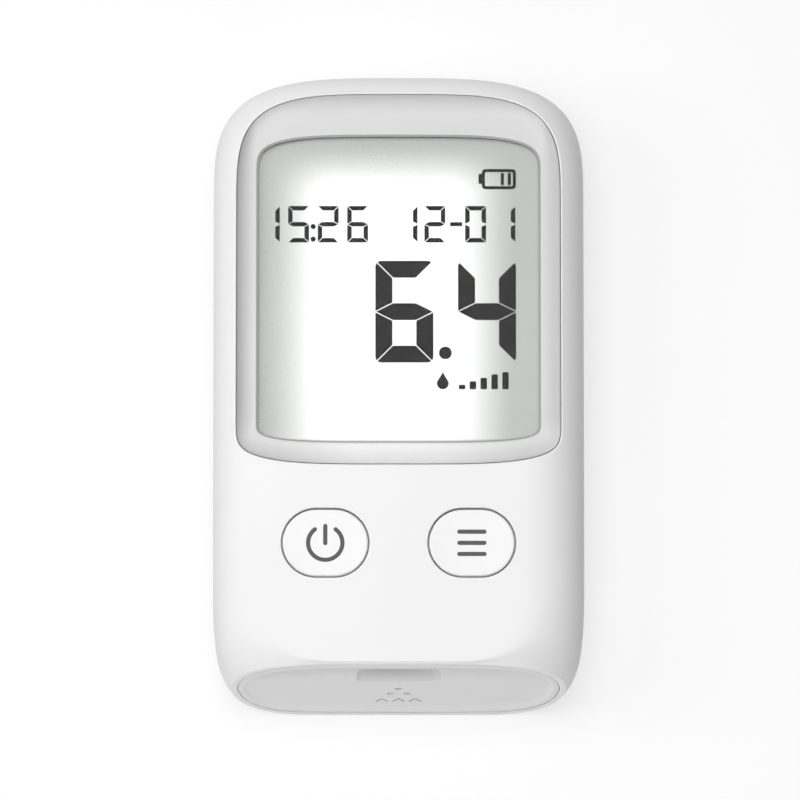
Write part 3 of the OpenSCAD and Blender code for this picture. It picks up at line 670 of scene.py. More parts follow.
@dataclass(frozen=True)
class LensFinish:
    """Clear acrylic: see-through, with a reflection that grows at glancing angles."""

    name: str = "clear_acrylic"
    tint: Triple = (0.2, 0.205, 0.205)
    index: float = 1.49
    broad: float = 90.0
    roughness: Point = (0.042, 0.078)

    def material(self, groups: Groups) -> bpy.types.Material:
        """Build the lens material."""
        made, graph, shader = new_material(self.name)
        mirrored_share = graph.node("Fresnel", {"IOR": self.index}).outputs["Fac"]
        behind = graph.node("NewGeometry").outputs["Backfacing"]
        graph.fill(shader, {
            "Base Color": self.tint,
            "Specular IOR Level": 1.0,
            "Alpha": graph.math("SUBTRACT", mirrored_share, behind, clamp=True),
            "Roughness": graph.mapped(graph.grain(groups, Broad=self.broad)["Tone"], self.roughness),
        })
        return made


@dataclass(frozen=True)
class DisplayFinish:
    """The lit display: a painted highlight, a soft upright white patch that fades to grey-green towards the
    window's edges, and a painted shadow line along the window's foot; the backlight's emission carries the
    same painted pattern.
    """

    name: str = "lit_display"
    edge_colour: Triple = (0.362, 0.372, 0.358)
    # colour of the painted highlight in the display's middle
    highlight_colour: Triple = (0.93, 0.94, 0.93)
    glow: float = 0.30
    roughness: Point = (0.32, 0.42)
    middle_x: float = -1.3
    fall_x: Point = (20.0, 8.5)
    fall_y: Point = (38.8, 29.6)
    foot: Point = (-8.8, -8.2)
    # depth of the painted shadow line along the window's foot
    foot_shade: float = 0.55

    def material(self, groups: Groups) -> bpy.types.Material:
        """Build the display's material."""
        made, graph, shader = new_material(self.name)
        place = graph.place()
        across = graph.math("ABSOLUTE", graph.math("SUBTRACT", place["X"], self.middle_x * MM))
        # painted highlight: a soft white patch in the middle of the display, fading towards the window's
        # edges
        highlight_patch = graph.math("MULTIPLY", graph.step(across, self.fall_x), graph.step(place["Y"], self.fall_y))
        lit = graph.mix(highlight_patch, self.edge_colour, self.highlight_colour)
        # painted shadow line: darker along the window's lower edge
        shaded = graph.mix(1.0, lit, graph.step(place["Y"], self.foot, self.foot_shade), "MULTIPLY")
        graph.fill(shader, {
            "Base Color": shaded,
            "Emission Color": shaded,
            "Emission Strength": self.glow,
            "Roughness": graph.mapped(graph.grain(groups)["Tone"], self.roughness),
        })
        return made


@dataclass(frozen=True)
class DishFinish:
    """Satin moulding of the display's frame, with painted shade up its sides and top and painted light along
    its foot.

    The small step at the window gets a painted shadow line.
    """

    name: str = "smooth_white"
    plain: Triple = (0.64, 0.64, 0.643)
    # colour of the painted shade up the frame's sides and top
    shade_colour: Triple = (0.52, 0.52, 0.523)
    # colour of the painted light along the frame's foot
    painted_light_colour: Triple = (0.80, 0.80, 0.803)
    side: Point = (22.1, 23.9)
    top: Point = (42.4, 45.4)
    foot: Point = (-4.5, -10.2)
    foot_side: Point = (21.0, 5.0)
    step: Point = (18.87, 18.95)
    # depth of the painted shadow line on the step at the window
    step_shade: float = 0.42

    def material(self, groups: Groups) -> bpy.types.Material:
        """Build the frame's material."""
        base = Finish(self.name, self.plain, roughness=0.36, bump=0.004, tone=0.006)
        made, graph, shader, colour = base.reopened(groups)
        place = graph.place()
        across, foot = graph.math("ABSOLUTE", place["X"]), graph.step(place["Y"], self.foot)
        # painted shade: darker up the sides and top of the cove, towards its outer edge
        far = graph.math("MAXIMUM", graph.step(across, self.side), graph.step(place["Y"], self.top))
        shade_mask = graph.math("SUBTRACT", far, foot, clamp=True)
        # painted light: paler along the middle of the frame's foot
        near = graph.math("MULTIPLY", foot, graph.step(across, self.foot_side))
        colour = graph.mix(near, graph.mix(shade_mask, colour, self.shade_colour), self.painted_light_colour)
        # painted shadow line on the small step at the window
        step = graph.step(place["Z"], self.step, self.step_shade)
        graph.fill(shader, {"Base Color": graph.mix(1.0, colour, step, "MULTIPLY")})
        return made


@dataclass(frozen=True)
class CellFinish:
    """A plain printed sleeve on an AAA cell, with a band of another colour towards the display end."""

    name: str = "cell_sleeve"
    sleeve: Triple = (0.03, 0.10, 0.30)
    band: Triple = (0.70, 0.48, 0.16)
    band_start: Point = (26.8, 27.0)

    def material(self, groups: Groups) -> bpy.types.Material:
        """Build the sleeve's material."""
        base = Finish(self.name, self.sleeve, roughness=0.3, coat=0.3, bump=0.003, tone=0.05)
        made, graph, shader, colour = base.reopened(groups)
        past = graph.step(graph.place()["Y"], self.band_start, kind="LINEAR")
        graph.fill(shader, {"Base Color": graph.mix(past, colour, self.band)})
        return made


# ---------- the case's form ----------


@dataclass
class CaseForm:
    """The case's outer form, shared by every moulding that follows it.

    The wall back is the thickness of the wall behind the slanted end face.
    """

    width: float = 58.0
    length: float = 99.0
    thickness: float = 21.0
    parting_z: float = 9.0
    front_wall: float = 2.2
    rear_wall: float = 2.0
    wall_back: float = 3.0
    parting_chamfer: float = 0.1
    top_corner: float = 20.0
    port_corner: float = 26.0
    front_round: Point = (6.5, 8.0)
    back_round: Point = (6.0, 8.0)
    slant: float = math.radians(14.4)
    port_overrun: float = 1.7
    front_lean: float = 7.2
    back_lean: float = 1.6
    lean_start_z: float = 10.0
    lean_power: float = 1.3
    top_power: float = 3.5
    port_power: float = 5.0
    end_edge: float = 0.3
    shoulder: float = 10.5
    shoulder_power: float = 2.5
    shoulder_end: Point = (-47.5, -41.5)
    steps: int = 40
    round_steps: int = 24

    def side_inset(self, z: float, skin: float) -> float:
        """Inset of the case's side at a height, inside a skin of that thickness."""
        (fw, fh), (bw, bh) = self.front_round, self.back_round
        return (skin + drawn_in(z - (self.thickness - fh), fw - skin, fh - skin)
                + drawn_in(bh - z, bw - skin, bh - skin))

    def port_inset(self, z: float, skin: float) -> float:
        """Inset of the port end's corners at a height."""
        share = max(0.0, z - self.lean_start_z) / (self.thickness - self.lean_start_z)
        lean = self.front_lean * share**self.lean_power
        return skin + lean + drawn_in(self.back_round[1] - z, self.back_lean, self.back_round[1])

    def end_y(self, z: float, back: float = 0.0) -> float:
        """Where the slanted end face lies at a height, or a face that far behind it."""
        return -self.length / 2 + z * math.tan(self.slant) + back / math.cos(self.slant)

    def half_plan(self, z: float, skin: float = 0.0, back: float = 0.0, edge: float = 0.0,
                  further: float = 0.0) -> Outline:
        """Right half of the case's plan at a height.

        Args:
            z: The height.
            skin: How far inside the outer skin the plan lies.
            back: How far behind the end face the plan stops.
            edge: Radius of the round between the end face and the front.
            further: How much further in the sides lie, for rings on the flat front.

        Returns:
            The points from the display end round to the end face.
        """
        side = self.side_inset(z, skin) + further
        half_w = self.width / 2 - side
        mid_y = -self.length / 2 - self.port_overrun + self.port_corner
        reach = self.port_corner - self.port_inset(z, skin)
        rounded = drawn_in(z - self.thickness + edge, edge, edge)
        share = min(0.999, (mid_y - self.end_y(z, back) - rounded) / reach)
        last = math.asin(share ** (self.port_power / 2))
        top = quarter(half_w, self.length / 2 - self.top_corner, self.top_corner - side,
                      self.top_power, (math.pi / 2, 0.0), self.steps)
        return top + quarter(half_w, mid_y, -reach, self.port_power, (0.0, last), self.steps)[1:]

    def plan(self, z: float, skin: float = 0.0, back: float = 0.0) -> Outline:
        """The case's plan at a height as a closed outline."""
        return both_sides(self.half_plan(z, skin, back))

    def ring(self, z: float, skin: float = 0.0, back: float = 0.0) -> Ring:
        """The case's plan at a height as a ring, with the end face's rounded edge."""
        return level(both_sides(self.half_plan(z, skin, back, self.end_edge if back == 0 else 0.0)), z)

    def chamfered(self, z: float) -> Ring:
        """The outer ring at a height, drawn in a little at the parting line."""
        return self.ring(z, self.parting_chamfer if z == self.parting_z else 0.0)

    def _edge_drop(self, gap: float, width: float, power: float) -> float:
        """How far a round of that width lies below the front, at a gap from its outer edge."""
        share = max(0.0, 1 - gap / width)
        return self.front_round[1] * (1 - (1 - share**power) ** (1 / power))

    def shoulder_drop(self, gap: float, y: float) -> float:
        """How far the soft shoulder lies below the plain round.

        Args:
            gap: Distance in from the case's outer edge.
            y: Place along the case, because the shoulder fades out before the end face.

        Returns:
            The difference in height.
        """
        end, start = self.shoulder_end
        along = min(1.0, max(0.0, (y - end) / (start - end)))
        wide = self._edge_drop(gap, self.shoulder, self.shoulder_power)
        plain = self._edge_drop(gap, self.front_round[0], ROUND_POWER)
        return max(0.0, wide - plain) * along * along * (3 - 2 * along)

    def shouldered(self, z: float, further: float = 0.0) -> Ring:
        """A ring of the front's outer skin, lowered to the soft shoulder."""
        gap = self.side_inset(z, 0.0) + further
        plan = both_sides(self.half_plan(z, edge=self.end_edge, further=further))
        return [Vector((x, y, z - self.shoulder_drop(gap, y))) for x, y in plan]

    def round_heights(self, start: float, height: float) -> list[float]:
        """Heights of the rings of a round, spread evenly round its quarter turn."""
        return [start + height * math.sin(math.pi / 2 * i / self.round_steps) ** (2 / ROUND_POWER)
                for i in range(1, self.round_steps + 1)]

    def front_height(self, x: float, y: float) -> float:
        """Height of the front at a point of the plan, away from the port end."""
        low, high = 0.0, self.shoulder
        mid_y = self.length / 2 - self.top_corner
        for _ in range(24):
            s = (low + high) / 2
            across = (abs(x) / (self.width / 2 - s)) ** self.top_power
            along = (max(0.0, y - mid_y) / (self.top_corner - s)) ** self.top_power
            low, high = (s, high) if across + along < 1 else (low, s)
        plain = self._edge_drop(low, self.front_round[0], ROUND_POWER)
        return self.thickness - plain - self.shoulder_drop(low, y)

    def on_front(self, outline: Outline, drop: float) -> Ring:
        """An outline laid on the front, or that far below it."""
        return [Vector((x, y, self.front_height(x, y) - drop)) for x, y in outline]

    def end_outline(self, count: int = 220) -> Outline:
        """The end face's outline in its own plane, evenly spread from the top middle."""
        heights = [self.thickness * (1 - k / 96) for k in range(97)]
        ends = [self.half_plan(z)[-1] for z in heights]
        right = [(x, (y + self.length / 2) * math.sin(self.slant) + z * math.cos(self.slant))
                 for (x, y), z in zip(ends, heights)]
        return resample(both_sides([(0.002, right[0][1])] + right + [(0.002, right[-1][1])]), count)


# ---------- pieces ----------


@dataclass
class Workshop:
    """Turns solids into finished pieces and keeps the finishes.

    An edge stays sharp above the crease angle, in degrees. Points closer than the weld are merged.
    """

    form: CaseForm
    groups: Groups
    finishes: dict[str, bpy.types.Material] = field(default_factory=dict)
    crease: float = 32.0
    weld: float = 2e-4
    sliver: float = 1e-4
    normal_weight: int = 80

    def finish(self, kind: Surface) -> bpy.types.Material:
        """The material of a finish, built the first time it is asked for."""
        if kind.name not in self.finishes:
            self.finishes[kind.name] = kind.material(self.groups)
        return self.finishes[kind.name]

    def piece(self, name: str, solid: Solid, kind: Surface, body: Body, slot: str,
              replaces: Sequence[str] = ()) -> bpy.types.Object:
        """Make a solid a finished piece of the scene.

        Args:
            name: The piece's name.
            solid: Its shape, in millimetres.
            kind: Its finish.
            body: The body it rides on.
            slot: The record's material slot; not used.
            replaces: The nodes that it stands for.

        Returns:
            The new object.
        """
        bm = bmesh.new()
        bm.from_mesh(solid.mesh)
        bpy.data.meshes.remove(solid.mesh)
        bmesh.ops.remove_doubles(bm, verts=bm.verts, dist=self.weld)
        bmesh.ops.dissolve_degenerate(bm, dist=self.sliver, edges=bm.edges)
        for face in bm.faces:
            face.smooth = True
        for edge in bm.edges:
            edge.smooth = edge.is_manifold and edge.calc_face_angle(0.0) < math.radians(self.crease)
        bmesh.ops.scale(bm, vec=(MM, MM, MM), verts=bm.verts)
        mesh = bpy.data.meshes.new(name)
        bm.to_mesh(mesh)
        bm.free()
        mesh.materials.append(self.finish(kind))
        obj = bpy.data.objects.new(name, mesh)
        bpy.context.scene.collection.objects.link(obj)
        weighted = obj.modifiers.new("weighted", "WEIGHTED_NORMAL")
        weighted.keep_sharp, weighted.weight = True, self.normal_weight
        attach(obj, body.value)
        if replaces:
            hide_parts(*replaces)
        LOG.info("%s: %d faces on %s", name, len(mesh.polygons), body.value)
        return obj


CASE_WHITE = Finish("satin_white", (0.88, 0.88, 0.882), roughness=0.5, bump=0.012, tone=0.008)
# the frame's white, with painted shade up its sides and top and painted light along its foot
FRAME_WHITE = DishFinish()
CAP_GREY = Finish("satin_pale_grey", (0.84, 0.84, 0.845), roughness=0.48, bump=0.01, tone=0.01)
KEY_WHITE = Finish("key_white", (0.885, 0.885, 0.885), roughness=0.42, bump=0.006, tone=0.006)
INK = Finish("display_ink", (0.02, 0.0185, 0.019), roughness=0.6, specular=0.1, bump=0.002, tone=0.05)
PRINT = Finish("key_print", (0.03, 0.03, 0.032), roughness=0.5, bump=0.004, tone=0.05)

SLOT_FINISHES = {
    "adhesive_grey": Finish("foam_tape", (0.36, 0.36, 0.37), 0.85, bump=0.03, tone=0.06),
    "gasket_black": Finish("dust_foam", (0.16, 0.16, 0.17), 0.9, bump=0.04, tone=0.1),
    "lcd_glass": Finish("display_glass", (0.42, 0.47, 0.45), 0.12, coat=0.4, bump=0.001, tone=0.02),
    "polariser_film": Finish("polariser", (0.34, 0.37, 0.36), 0.25, bump=0.002, tone=0.03),
    "guide_white": Finish("light_guide", (0.86, 0.87, 0.87), 0.3, bump=0.004, tone=0.01),
    "led_yellow": Finish("led_phosphor", (0.85, 0.66, 0.12), 0.35, bump=0.01, tone=0.05),
    "holder_white": Finish("holder_white", (0.78, 0.78, 0.77), 0.5, bump=0.01, tone=0.02),
    "zebra_grey": Finish("zebra_rubber", (0.12, 0.12, 0.13), 0.8, bump=0.02, tone=0.1),
    "board_green": Finish("solder_mask", (0.03, 0.16, 0.07), 0.35, coat=0.3, bump=0.01, tone=0.12),
    "chip_black": Finish("chip_epoxy", (0.02, 0.02, 0.022), 0.55, bump=0.02, tone=0.15),
    "can_steel": Finish("crystal_can", (0.62, 0.62, 0.63), 0.28, metallic=1.0, bump=0.003, tone=0.05),
    "ceramic_tan": Finish("ceramic_tan", (0.45, 0.31, 0.17), 0.5, bump=0.015, tone=0.12),
    "buzzer_black": Finish("buzzer_black", (0.02, 0.02, 0.02), 0.5, bump=0.015, tone=0.12),
    "socket_cream": Finish("socket_cream", (0.72, 0.68, 0.58), 0.45, bump=0.01, tone=0.04),
    "contact_gold": Finish("contact_gold", (0.83, 0.61, 0.23), 0.25, metallic=1.0, bump=0.002, tone=0.05),
    "switch_steel": Finish("switch_steel", (0.6, 0.6, 0.6), 0.32, metallic=1.0, bump=0.004, tone=0.06),
    "plunger_black": Finish("plunger_black", (0.025, 0.025, 0.025), 0.5, bump=0.01, tone=0.12),
    "nickel": Finish("nickel_plate", (0.66, 0.63, 0.58), 0.26, metallic=1.0, bump=0.003, tone=0.06),
    "screw_steel": Finish("screw_steel", (0.5, 0.5, 0.52), 0.35, metallic=1.0, bump=0.005, tone=0.08),
}


# ---------- mouldings ----------


def gathered(*solids: Solid) -> Solid:
    """Several solids that stay clear of each other, as one."""
    bm = bmesh.new()
    for solid in solids:
        bm.from_mesh(solid.mesh)
        bpy.data.meshes.remove(solid.mesh)
    return Solid(bm)


def mirrored(make: Callable[[float], Solid]) -> Solid:
    """One solid on each side, made for the sides -1 and 1."""
    return gathered(make(-1.0), make(1.0))


def twin_blocks(low: Triple, high: Triple) -> Solid:
    """A box right of the middle plane, and its mirror image."""
    (x0, y0, z0), (x1, y1, z1) = low, high
    return gathered(block((-x1, y0, z0), (-x0, y1, z1)), block(low, high))


def twin_rods(at: Point, radius: float, low: float, high: float) -> Solid:
    """An upright round bar on each side of the middle plane."""
    return mirrored(lambda side: rod((side * at[0], at[1]), radius, low, high))


def bar(profile: Outline, start: float, end: float) -> Solid:
    """A profile of X and Z, drawn out along Y."""
    return slab(profile, -end, -start).moved(Matrix.Rotation(math.pi / 2, 4, "X"))


def collar(outer: Outline, inner: Outline, low: float, high: float) -> Solid:
    """A flat ring between two outlines with the same number of points."""
    return loft([level(outer, low), level(inner, low), level(inner, high), level(outer, high)], looped=True)


@dataclass
class WindowShapes:
    """The display's outlines: straight sides with superellipse ends.

    The dish and the window are given by half width, top and bottom.
    """

    dish: Triple = (25.3, 45.9, -12.8)
    window: Triple = (21.9, 39.3, -8.9)
    dish_reach: Point = (19.0, 7.0)
    window_reach: Point = (6.0, 3.0)
    power: float = 4.0
    steps: int = 48

    def _shape(self, size: Triple, reach: Point, gap: float) -> Outline:
        """An outline grown by a gap."""
        half_w, top, bottom = size[0] + gap, size[1] + gap, size[2] - gap
        up, down = reach[0] + gap, reach[1] + gap
        upper = quarter(half_w, top - up, up, self.power, (math.pi / 2, 0.0), self.steps)
        lower = quarter(half_w, bottom + down, -down, self.power, (0.0, math.pi / 2), self.steps)
        return both_sides(upper + lower)

    def dish_edge(self, gap: float = 0.0) -> Outline:
        """The edge of the dish round the display."""
        return self._shape(self.dish, self.dish_reach, gap)

    def window_edge(self, gap: float = 0.0) -> Outline:
        """The edge of the display's window."""
        return self._shape(self.window, self.window_reach, gap)


@dataclass
class EndOpening:
    """The opening in the slanted end that takes the cap."""

    form: CaseForm
    rim: float = 0.95
    step: float = 1.7
    plate: float = 1.5
    play: float = 0.05
    past: Point = (2.0, 3.0)

    def matrix(self) -> Matrix:
        """The end face's own frame: X across, Y up the slope, Z outwards."""
        turn = Matrix.Rotation(math.pi / 2 - self.form.slant, 4, "X")
        return Matrix.Translation((0, -self.form.length / 2, 0)) @ turn

    def cutter(self) -> Solid:
        """The solid that cuts the opening."""
        outline = self.form.end_outline()
        wide, narrow = shrunk(outline, self.rim), shrunk(outline, self.rim + self.step)
        seat, inside = -self.plate - self.play, -self.form.wall_back - self.past[0]
        rings = [level(narrow, inside), level(narrow, seat), level(wide, seat), level(wide, self.past[1])]
        return loft(rings).moved(self.matrix())


@dataclass
class FrontCase:
    """The front moulding, with the dish's ledge, the key openings and the screw posts.

    The groove is given by its two skins and its height, the screw hole by its radius and its top.
    """

    shop: Workshop
    windows: WindowShapes
    opening: EndOpening
    edge: float = 0.3
    key_edge: float = 0.16
    play: float = 0.05
    ledge: Point = (17.5, 18.0)
    ledge_gaps: Point = (1.0, -1.2)
    key: Point = (11.4, -25.2)
    key_size: Point = (13.8, 11.0)
    key_relief: float = 1.2
    boss: Point = (20.5, -36.0)
    boss_radius: float = 2.3
    screw_hole: Point = (1.0, 15.0)
    groove: Triple = (1.05, 2.7, 0.95)
    snap_pocket: Box = ((4.8, 46.8, 10.3), (9.2, 47.9, 11.7))
    flat_rings: tuple[float, ...] = (4.0, 3.4, 2.8, 2.2, 1.7, 1.2, 0.8, 0.4)
    side_rings: Triple = (10.7, 11.4, 12.2)

    def _shell(self) -> Solid:
        """The hollow moulding before anything is cut."""
        form = self.shop.form
        start, wall = form.thickness - form.front_round[1], form.front_wall
        outer_up = [form.parting_z, form.parting_z + PARTING_STEP, form.lean_start_z, *self.side_rings, start]
        outer_up += form.round_heights(start, form.front_round[1])
        inner_up = [form.parting_z, form.lean_start_z, start]
        inner_up += form.round_heights(start, form.front_round[1] - wall)
        flat = [form.shouldered(form.thickness, further) for further in self.flat_rings]
        outer = flat + [form.shouldered(z) if z > start else form.chamfered(z) for z in reversed(outer_up)]
        inner = [form.ring(z, wall, form.wall_back) for z in inner_up]
        return loft(outer + inner)

    def _dish_cutter(self) -> Solid:
        """Cuts the dish's opening and rounds its edge."""
        form, shapes = self.shop.form, self.windows
        rings = [level(shapes.dish_edge(self.play), self.ledge[1])]
        for gap, drop in edge_round(self.edge, (0, 12, 24, 36, 48, 60, 70)):
            rings.append(form.on_front(shapes.dish_edge(self.play + gap), drop))
        far = shapes.dish_edge(1.4)
        rings += [form.on_front(far, -0.35), level(far, form.thickness + 2)]
        return loft(rings)

    def _key_cutter(self, side: float) -> Solid:
        """Cuts a key's opening and rounds its edge."""
        top, (width, length) = self.shop.form.thickness, self.key_size
        steps = [(0.0, 4.0)]
        steps += [(2 * gap, drop) for gap, drop in edge_round(self.key_edge, range(0, 90, 15))]
        steps += [(self.key_relief, -0.12), (self.key_relief, -1.0)]
        rings = [level(stadium(width + grown, length + grown), top - drop) for grown, drop in steps]
        return loft(rings).moved(Matrix.Translation((side * self.key[0], self.key[1], 0)))

    def build(self) -> bpy.types.Object:
        """Build the moulding."""
        form, (hole_radius, hole_top) = self.shop.form, self.screw_hole
        under, past_parting = form.thickness - form.front_wall, form.parting_z - 1
        ledge_sides = [self.windows.dish_edge(gap) for gap in self.ledge_gaps]
        outer, inner, rise = self.groove
        shell = self._shell()
        shell.join(
            collar(*ledge_sides, self.ledge[0], under - 0.15),
            twin_rods(self.boss, self.boss_radius, form.parting_z, under + 0.3),
        )
        groove = collar(form.plan(form.parting_z, outer), form.plan(form.parting_z, inner, form.wall_back),
                        past_parting, form.parting_z + rise)
        shell.cut(
            self._dish_cutter(),
            mirrored(self._key_cutter),
            groove,
            twin_rods(self.boss, hole_radius, past_parting, hole_top),
            twin_blocks(*self.snap_pocket),
            self.opening.cutter(),
        )
        return self.shop.piece("front_case", shell, CASE_WHITE, Body.CASE, "case_white", ["front_shell"])


@dataclass
class RearCase:
    """The rear moulding, with the battery tub, posts, screw holes and the door's slot.

    The lip is given by its two skins and its height. The head and screw holes are given by their
    radius and top, and the post's hole by its radius and foot.
    """

    shop: Workshop
    opening: EndOpening
    boss: Point = (20.5, -36.0)
    post: Point = (22.0, -18.8)
    pin: Point = (22.0, 35.5)
    boss_radius: float = 2.8
    post_radius: float = 2.1
    pin_radius: float = 0.9
    post_foot: float = 1.0
    post_top: float = 14.2
    head_hole: Point = (2.05, 2.5)
    screw_hole: Point = (1.15, 10.0)
    post_hole: Point = (0.85, 9.2)
    buzzer: Point = (-12.0, -20.0)
    sound_hole: float = 0.5
    sound_ring: float = 3.0
    tub_rim: Box = ((-15.2, -10.0, 1.7), (15.2, 46.4, 3.6))
    tub: Box = ((-12.2, -6.4, 1.7), (12.2, 46.2, 13.5))
    tub_inside: Box = ((-11.0, -5.2, 1.45), (11.0, 45.0, 12.8))
    contact_slot: Box = ((3.85, -5.4, 11.8), (6.85, -4.7, 14.5))
    lip: Triple = (1.15, 2.0, 0.85)
    door_slot: tuple[Point, ...] = ((12.35, -1.0), (12.35, 0.25), (13.35, 2.1))
    door_start: float = -8.15
    ribs_and_hooks: tuple[Box, ...] = (
        ((11.6, 35.0, 1.0), (22.0, 36.0, 8.0)),
        ((5.0, 46.0, 4.0), (9.0, 48.0, 8.0)),
        ((5.0, 45.9, 4.0), (9.0, 47.05, 11.5)),
        ((5.0, 45.8, 10.5), (9.0, 47.55, 11.49)),
    )

    def _shell(self) -> Solid:
        """The hollow moulding before anything is added or cut."""
        form = self.shop.form
        height, wall = form.back_round[1], form.rear_wall
        inner = [height - h for h in reversed(form.round_heights(0, height - wall))]
        inner += [height, form.parting_z]
        outer = [form.parting_z, form.parting_z - PARTING_STEP, height]
        outer += [height - h for h in form.round_heights(0, height)]
        return loft([form.ring(z, wall, form.wall_back) for z in inner] + [form.chamfered(z) for z in outer])

    def _added(self, shell: Solid) -> None:
        """Join the tub, posts, lip and hooks."""
        form, (outer, inner, rise) = self.shop.form, self.lip
        shell.join(
            block(*self.tub_rim),
            block(*self.tub),
            collar(form.plan(form.parting_z, outer), form.plan(form.parting_z, inner, form.wall_back),
                   form.parting_z - 1, form.parting_z + rise),
            twin_rods(self.boss, self.boss_radius, self.post_foot, form.parting_z),
            twin_rods(self.post, self.post_radius, self.post_foot, self.post_top),
            twin_rods(self.pin, self.post_radius, self.post_foot, self.post_top),
            twin_rods(self.pin, self.pin_radius, self.post_foot + 0.2, self.post_top + 0.9),
        )
        for low, high in self.ribs_and_hooks:
            shell.join(twin_blocks(low, high))

    def build(self) -> bpy.types.Object:
        """Build the moulding."""
        (head, head_top), (shank, shank_top) = self.head_hole, self.screw_hole
        pilot, pilot_foot = self.post_hole
        shell = self._shell()
        self._added(shell)
        slot = [(-x, z) for x, z in self.door_slot] + list(reversed(self.door_slot))
        holes = ellipse(self.buzzer, self.sound_ring, self.sound_ring, 6)
        shell.cut(
            bar(slot, self.door_start, self.shop.form.length),
            block(*self.tub_inside),
            twin_blocks(*self.contact_slot),
            twin_rods(self.boss, head, -1.0, head_top),
            twin_rods(self.boss, shank, head_top - 0.1, shank_top),
            twin_rods(self.post, pilot, pilot_foot, self.post_top + 1.0),
            gathered(*(rod(at, self.sound_hole, -1.0, 4.0, 24) for at in holes)),
            self.opening.cutter(),
        )
        return self.shop.piece("rear_case", shell, CASE_WHITE, Body.CASE, "case_white", ["rear_shell"])


@dataclass
class BatteryDoor:
    """The sliding battery door, with its finger grooves."""

    shop: Workshop
    start: float = -8.0
    profile: tuple[Point, ...] = ((12.2, 0.25), (13.2, 1.95))
    grooves: int = 6
    first_groove: float = 4.4
    pitch: float = 1.8
    groove_half: float = 6.0
    groove: tuple[Point, ...] = ((0.55, -0.3), (0.42, 0.32), (0.28, 0.5))
    groove_top: float = 0.56

    def build(self) -> bpy.types.Object:
        """Build the door."""
        form = self.shop.form
        height = form.back_round[1]
        heights = [form.parting_z, height] + [height - h for h in form.round_heights(0, height)]
        door = loft([form.ring(z) for z in heights])
        profile = [(-x, z) for x, z in self.profile] + list(reversed(self.profile))
        door.combine(bar(profile, self.start, form.length), Operation.KEEP_COMMON)
        (foot_x, foot_z), *left = ((-x, z) for x, z in self.groove)
        groove = [(foot_x, foot_z), *self.groove, (0.0, self.groove_top), *reversed(left)]
        across = Matrix.Rotation(math.pi / 2, 4, "Z") @ Matrix.Rotation(math.pi / 2, 4, "X")
        for i in range(self.grooves):
            middle = Matrix.Translation((0, self.start + self.first_groove + i * self.pitch, 0))
            door.cut(slab(groove, -self.groove_half, self.groove_half).moved(middle @ across))
        return self.shop.piece("sliding_door", door, CASE_WHITE, Body.DOOR, "case_white", ["battery_door"])


@dataclass
class DishFrame:
    """The dished frame round the display."""

    shop: Workshop
    windows: WindowShapes
    floor_z: float = 19.0
    lip_z: float = 18.5
    ledge_z: float = 18.0
    step_w: float = 0.4
    step_drop: float = 0.16
    power: float = 2.6
    wall_power: float = 9.0
    wall_share: float = 0.4
    steps: int = 32
    step_spread: float = 1.6
    play: float = 0.05
    rim_drop: float = 0.1
    rebate: float = 1.35

    def _cove(self, share: float) -> Ring:
        """One ring of the cove, from its outer edge at 0 to the window at 1."""
        form = self.shop.form
        outer, inner = self.windows.dish_edge(-self.play), self.windows.window_edge(self.step_w)
        fall = ((1 - self.wall_share) * (1 - share) ** self.power
                + self.wall_share * (1 - share) ** self.wall_power)
        ring = []
        for (ox, oy), (ix, iy) in zip(outer, inner):
            rim = form.front_height(ox, oy) - self.rim_drop
            z = self.floor_z + (rim - self.floor_z) * fall
            ring.append(Vector((ox + (ix - ox) * share, oy + (iy - oy) * share, z)))
        return ring

    def build(self) -> bpy.types.Object:
        """Build the frame."""
        shapes, foot = self.windows, self.floor_z - self.step_drop
        lip, rebate = shapes.window_edge(0.0), shapes.window_edge(self.rebate)
        edge = [v - Vector((0, 0, 0.12)) for v in self._cove(0.0)]
        cove = [self._cove((k / self.steps) ** self.step_spread) for k in range(self.steps + 1)]
        cove[0] = [a.lerp(b, 0.45) + Vector((0, 0, -0.02)) for a, b in zip(cove[0], cove[1])]
        corners_of_step = ((self.step_w - 0.08, self.floor_z - 0.03), (self.step_w - 0.12, foot),
                           (0.05, foot - 0.02), (0.0, foot - 0.07))
        step = [level(shapes.window_edge(gap), z) for gap, z in corners_of_step]
        rings = [edge, level(shapes.dish_edge(-self.play), self.ledge_z), level(rebate, self.ledge_z),
                 level(rebate, self.lip_z), level(lip, self.lip_z)]
        rings += list(reversed(step)) + list(reversed(cove))
        return self.shop.piece("dish_frame", loft(rings, looped=True), FRAME_WHITE, Body.CASE, "frame_white",
                               ["display_frame"])


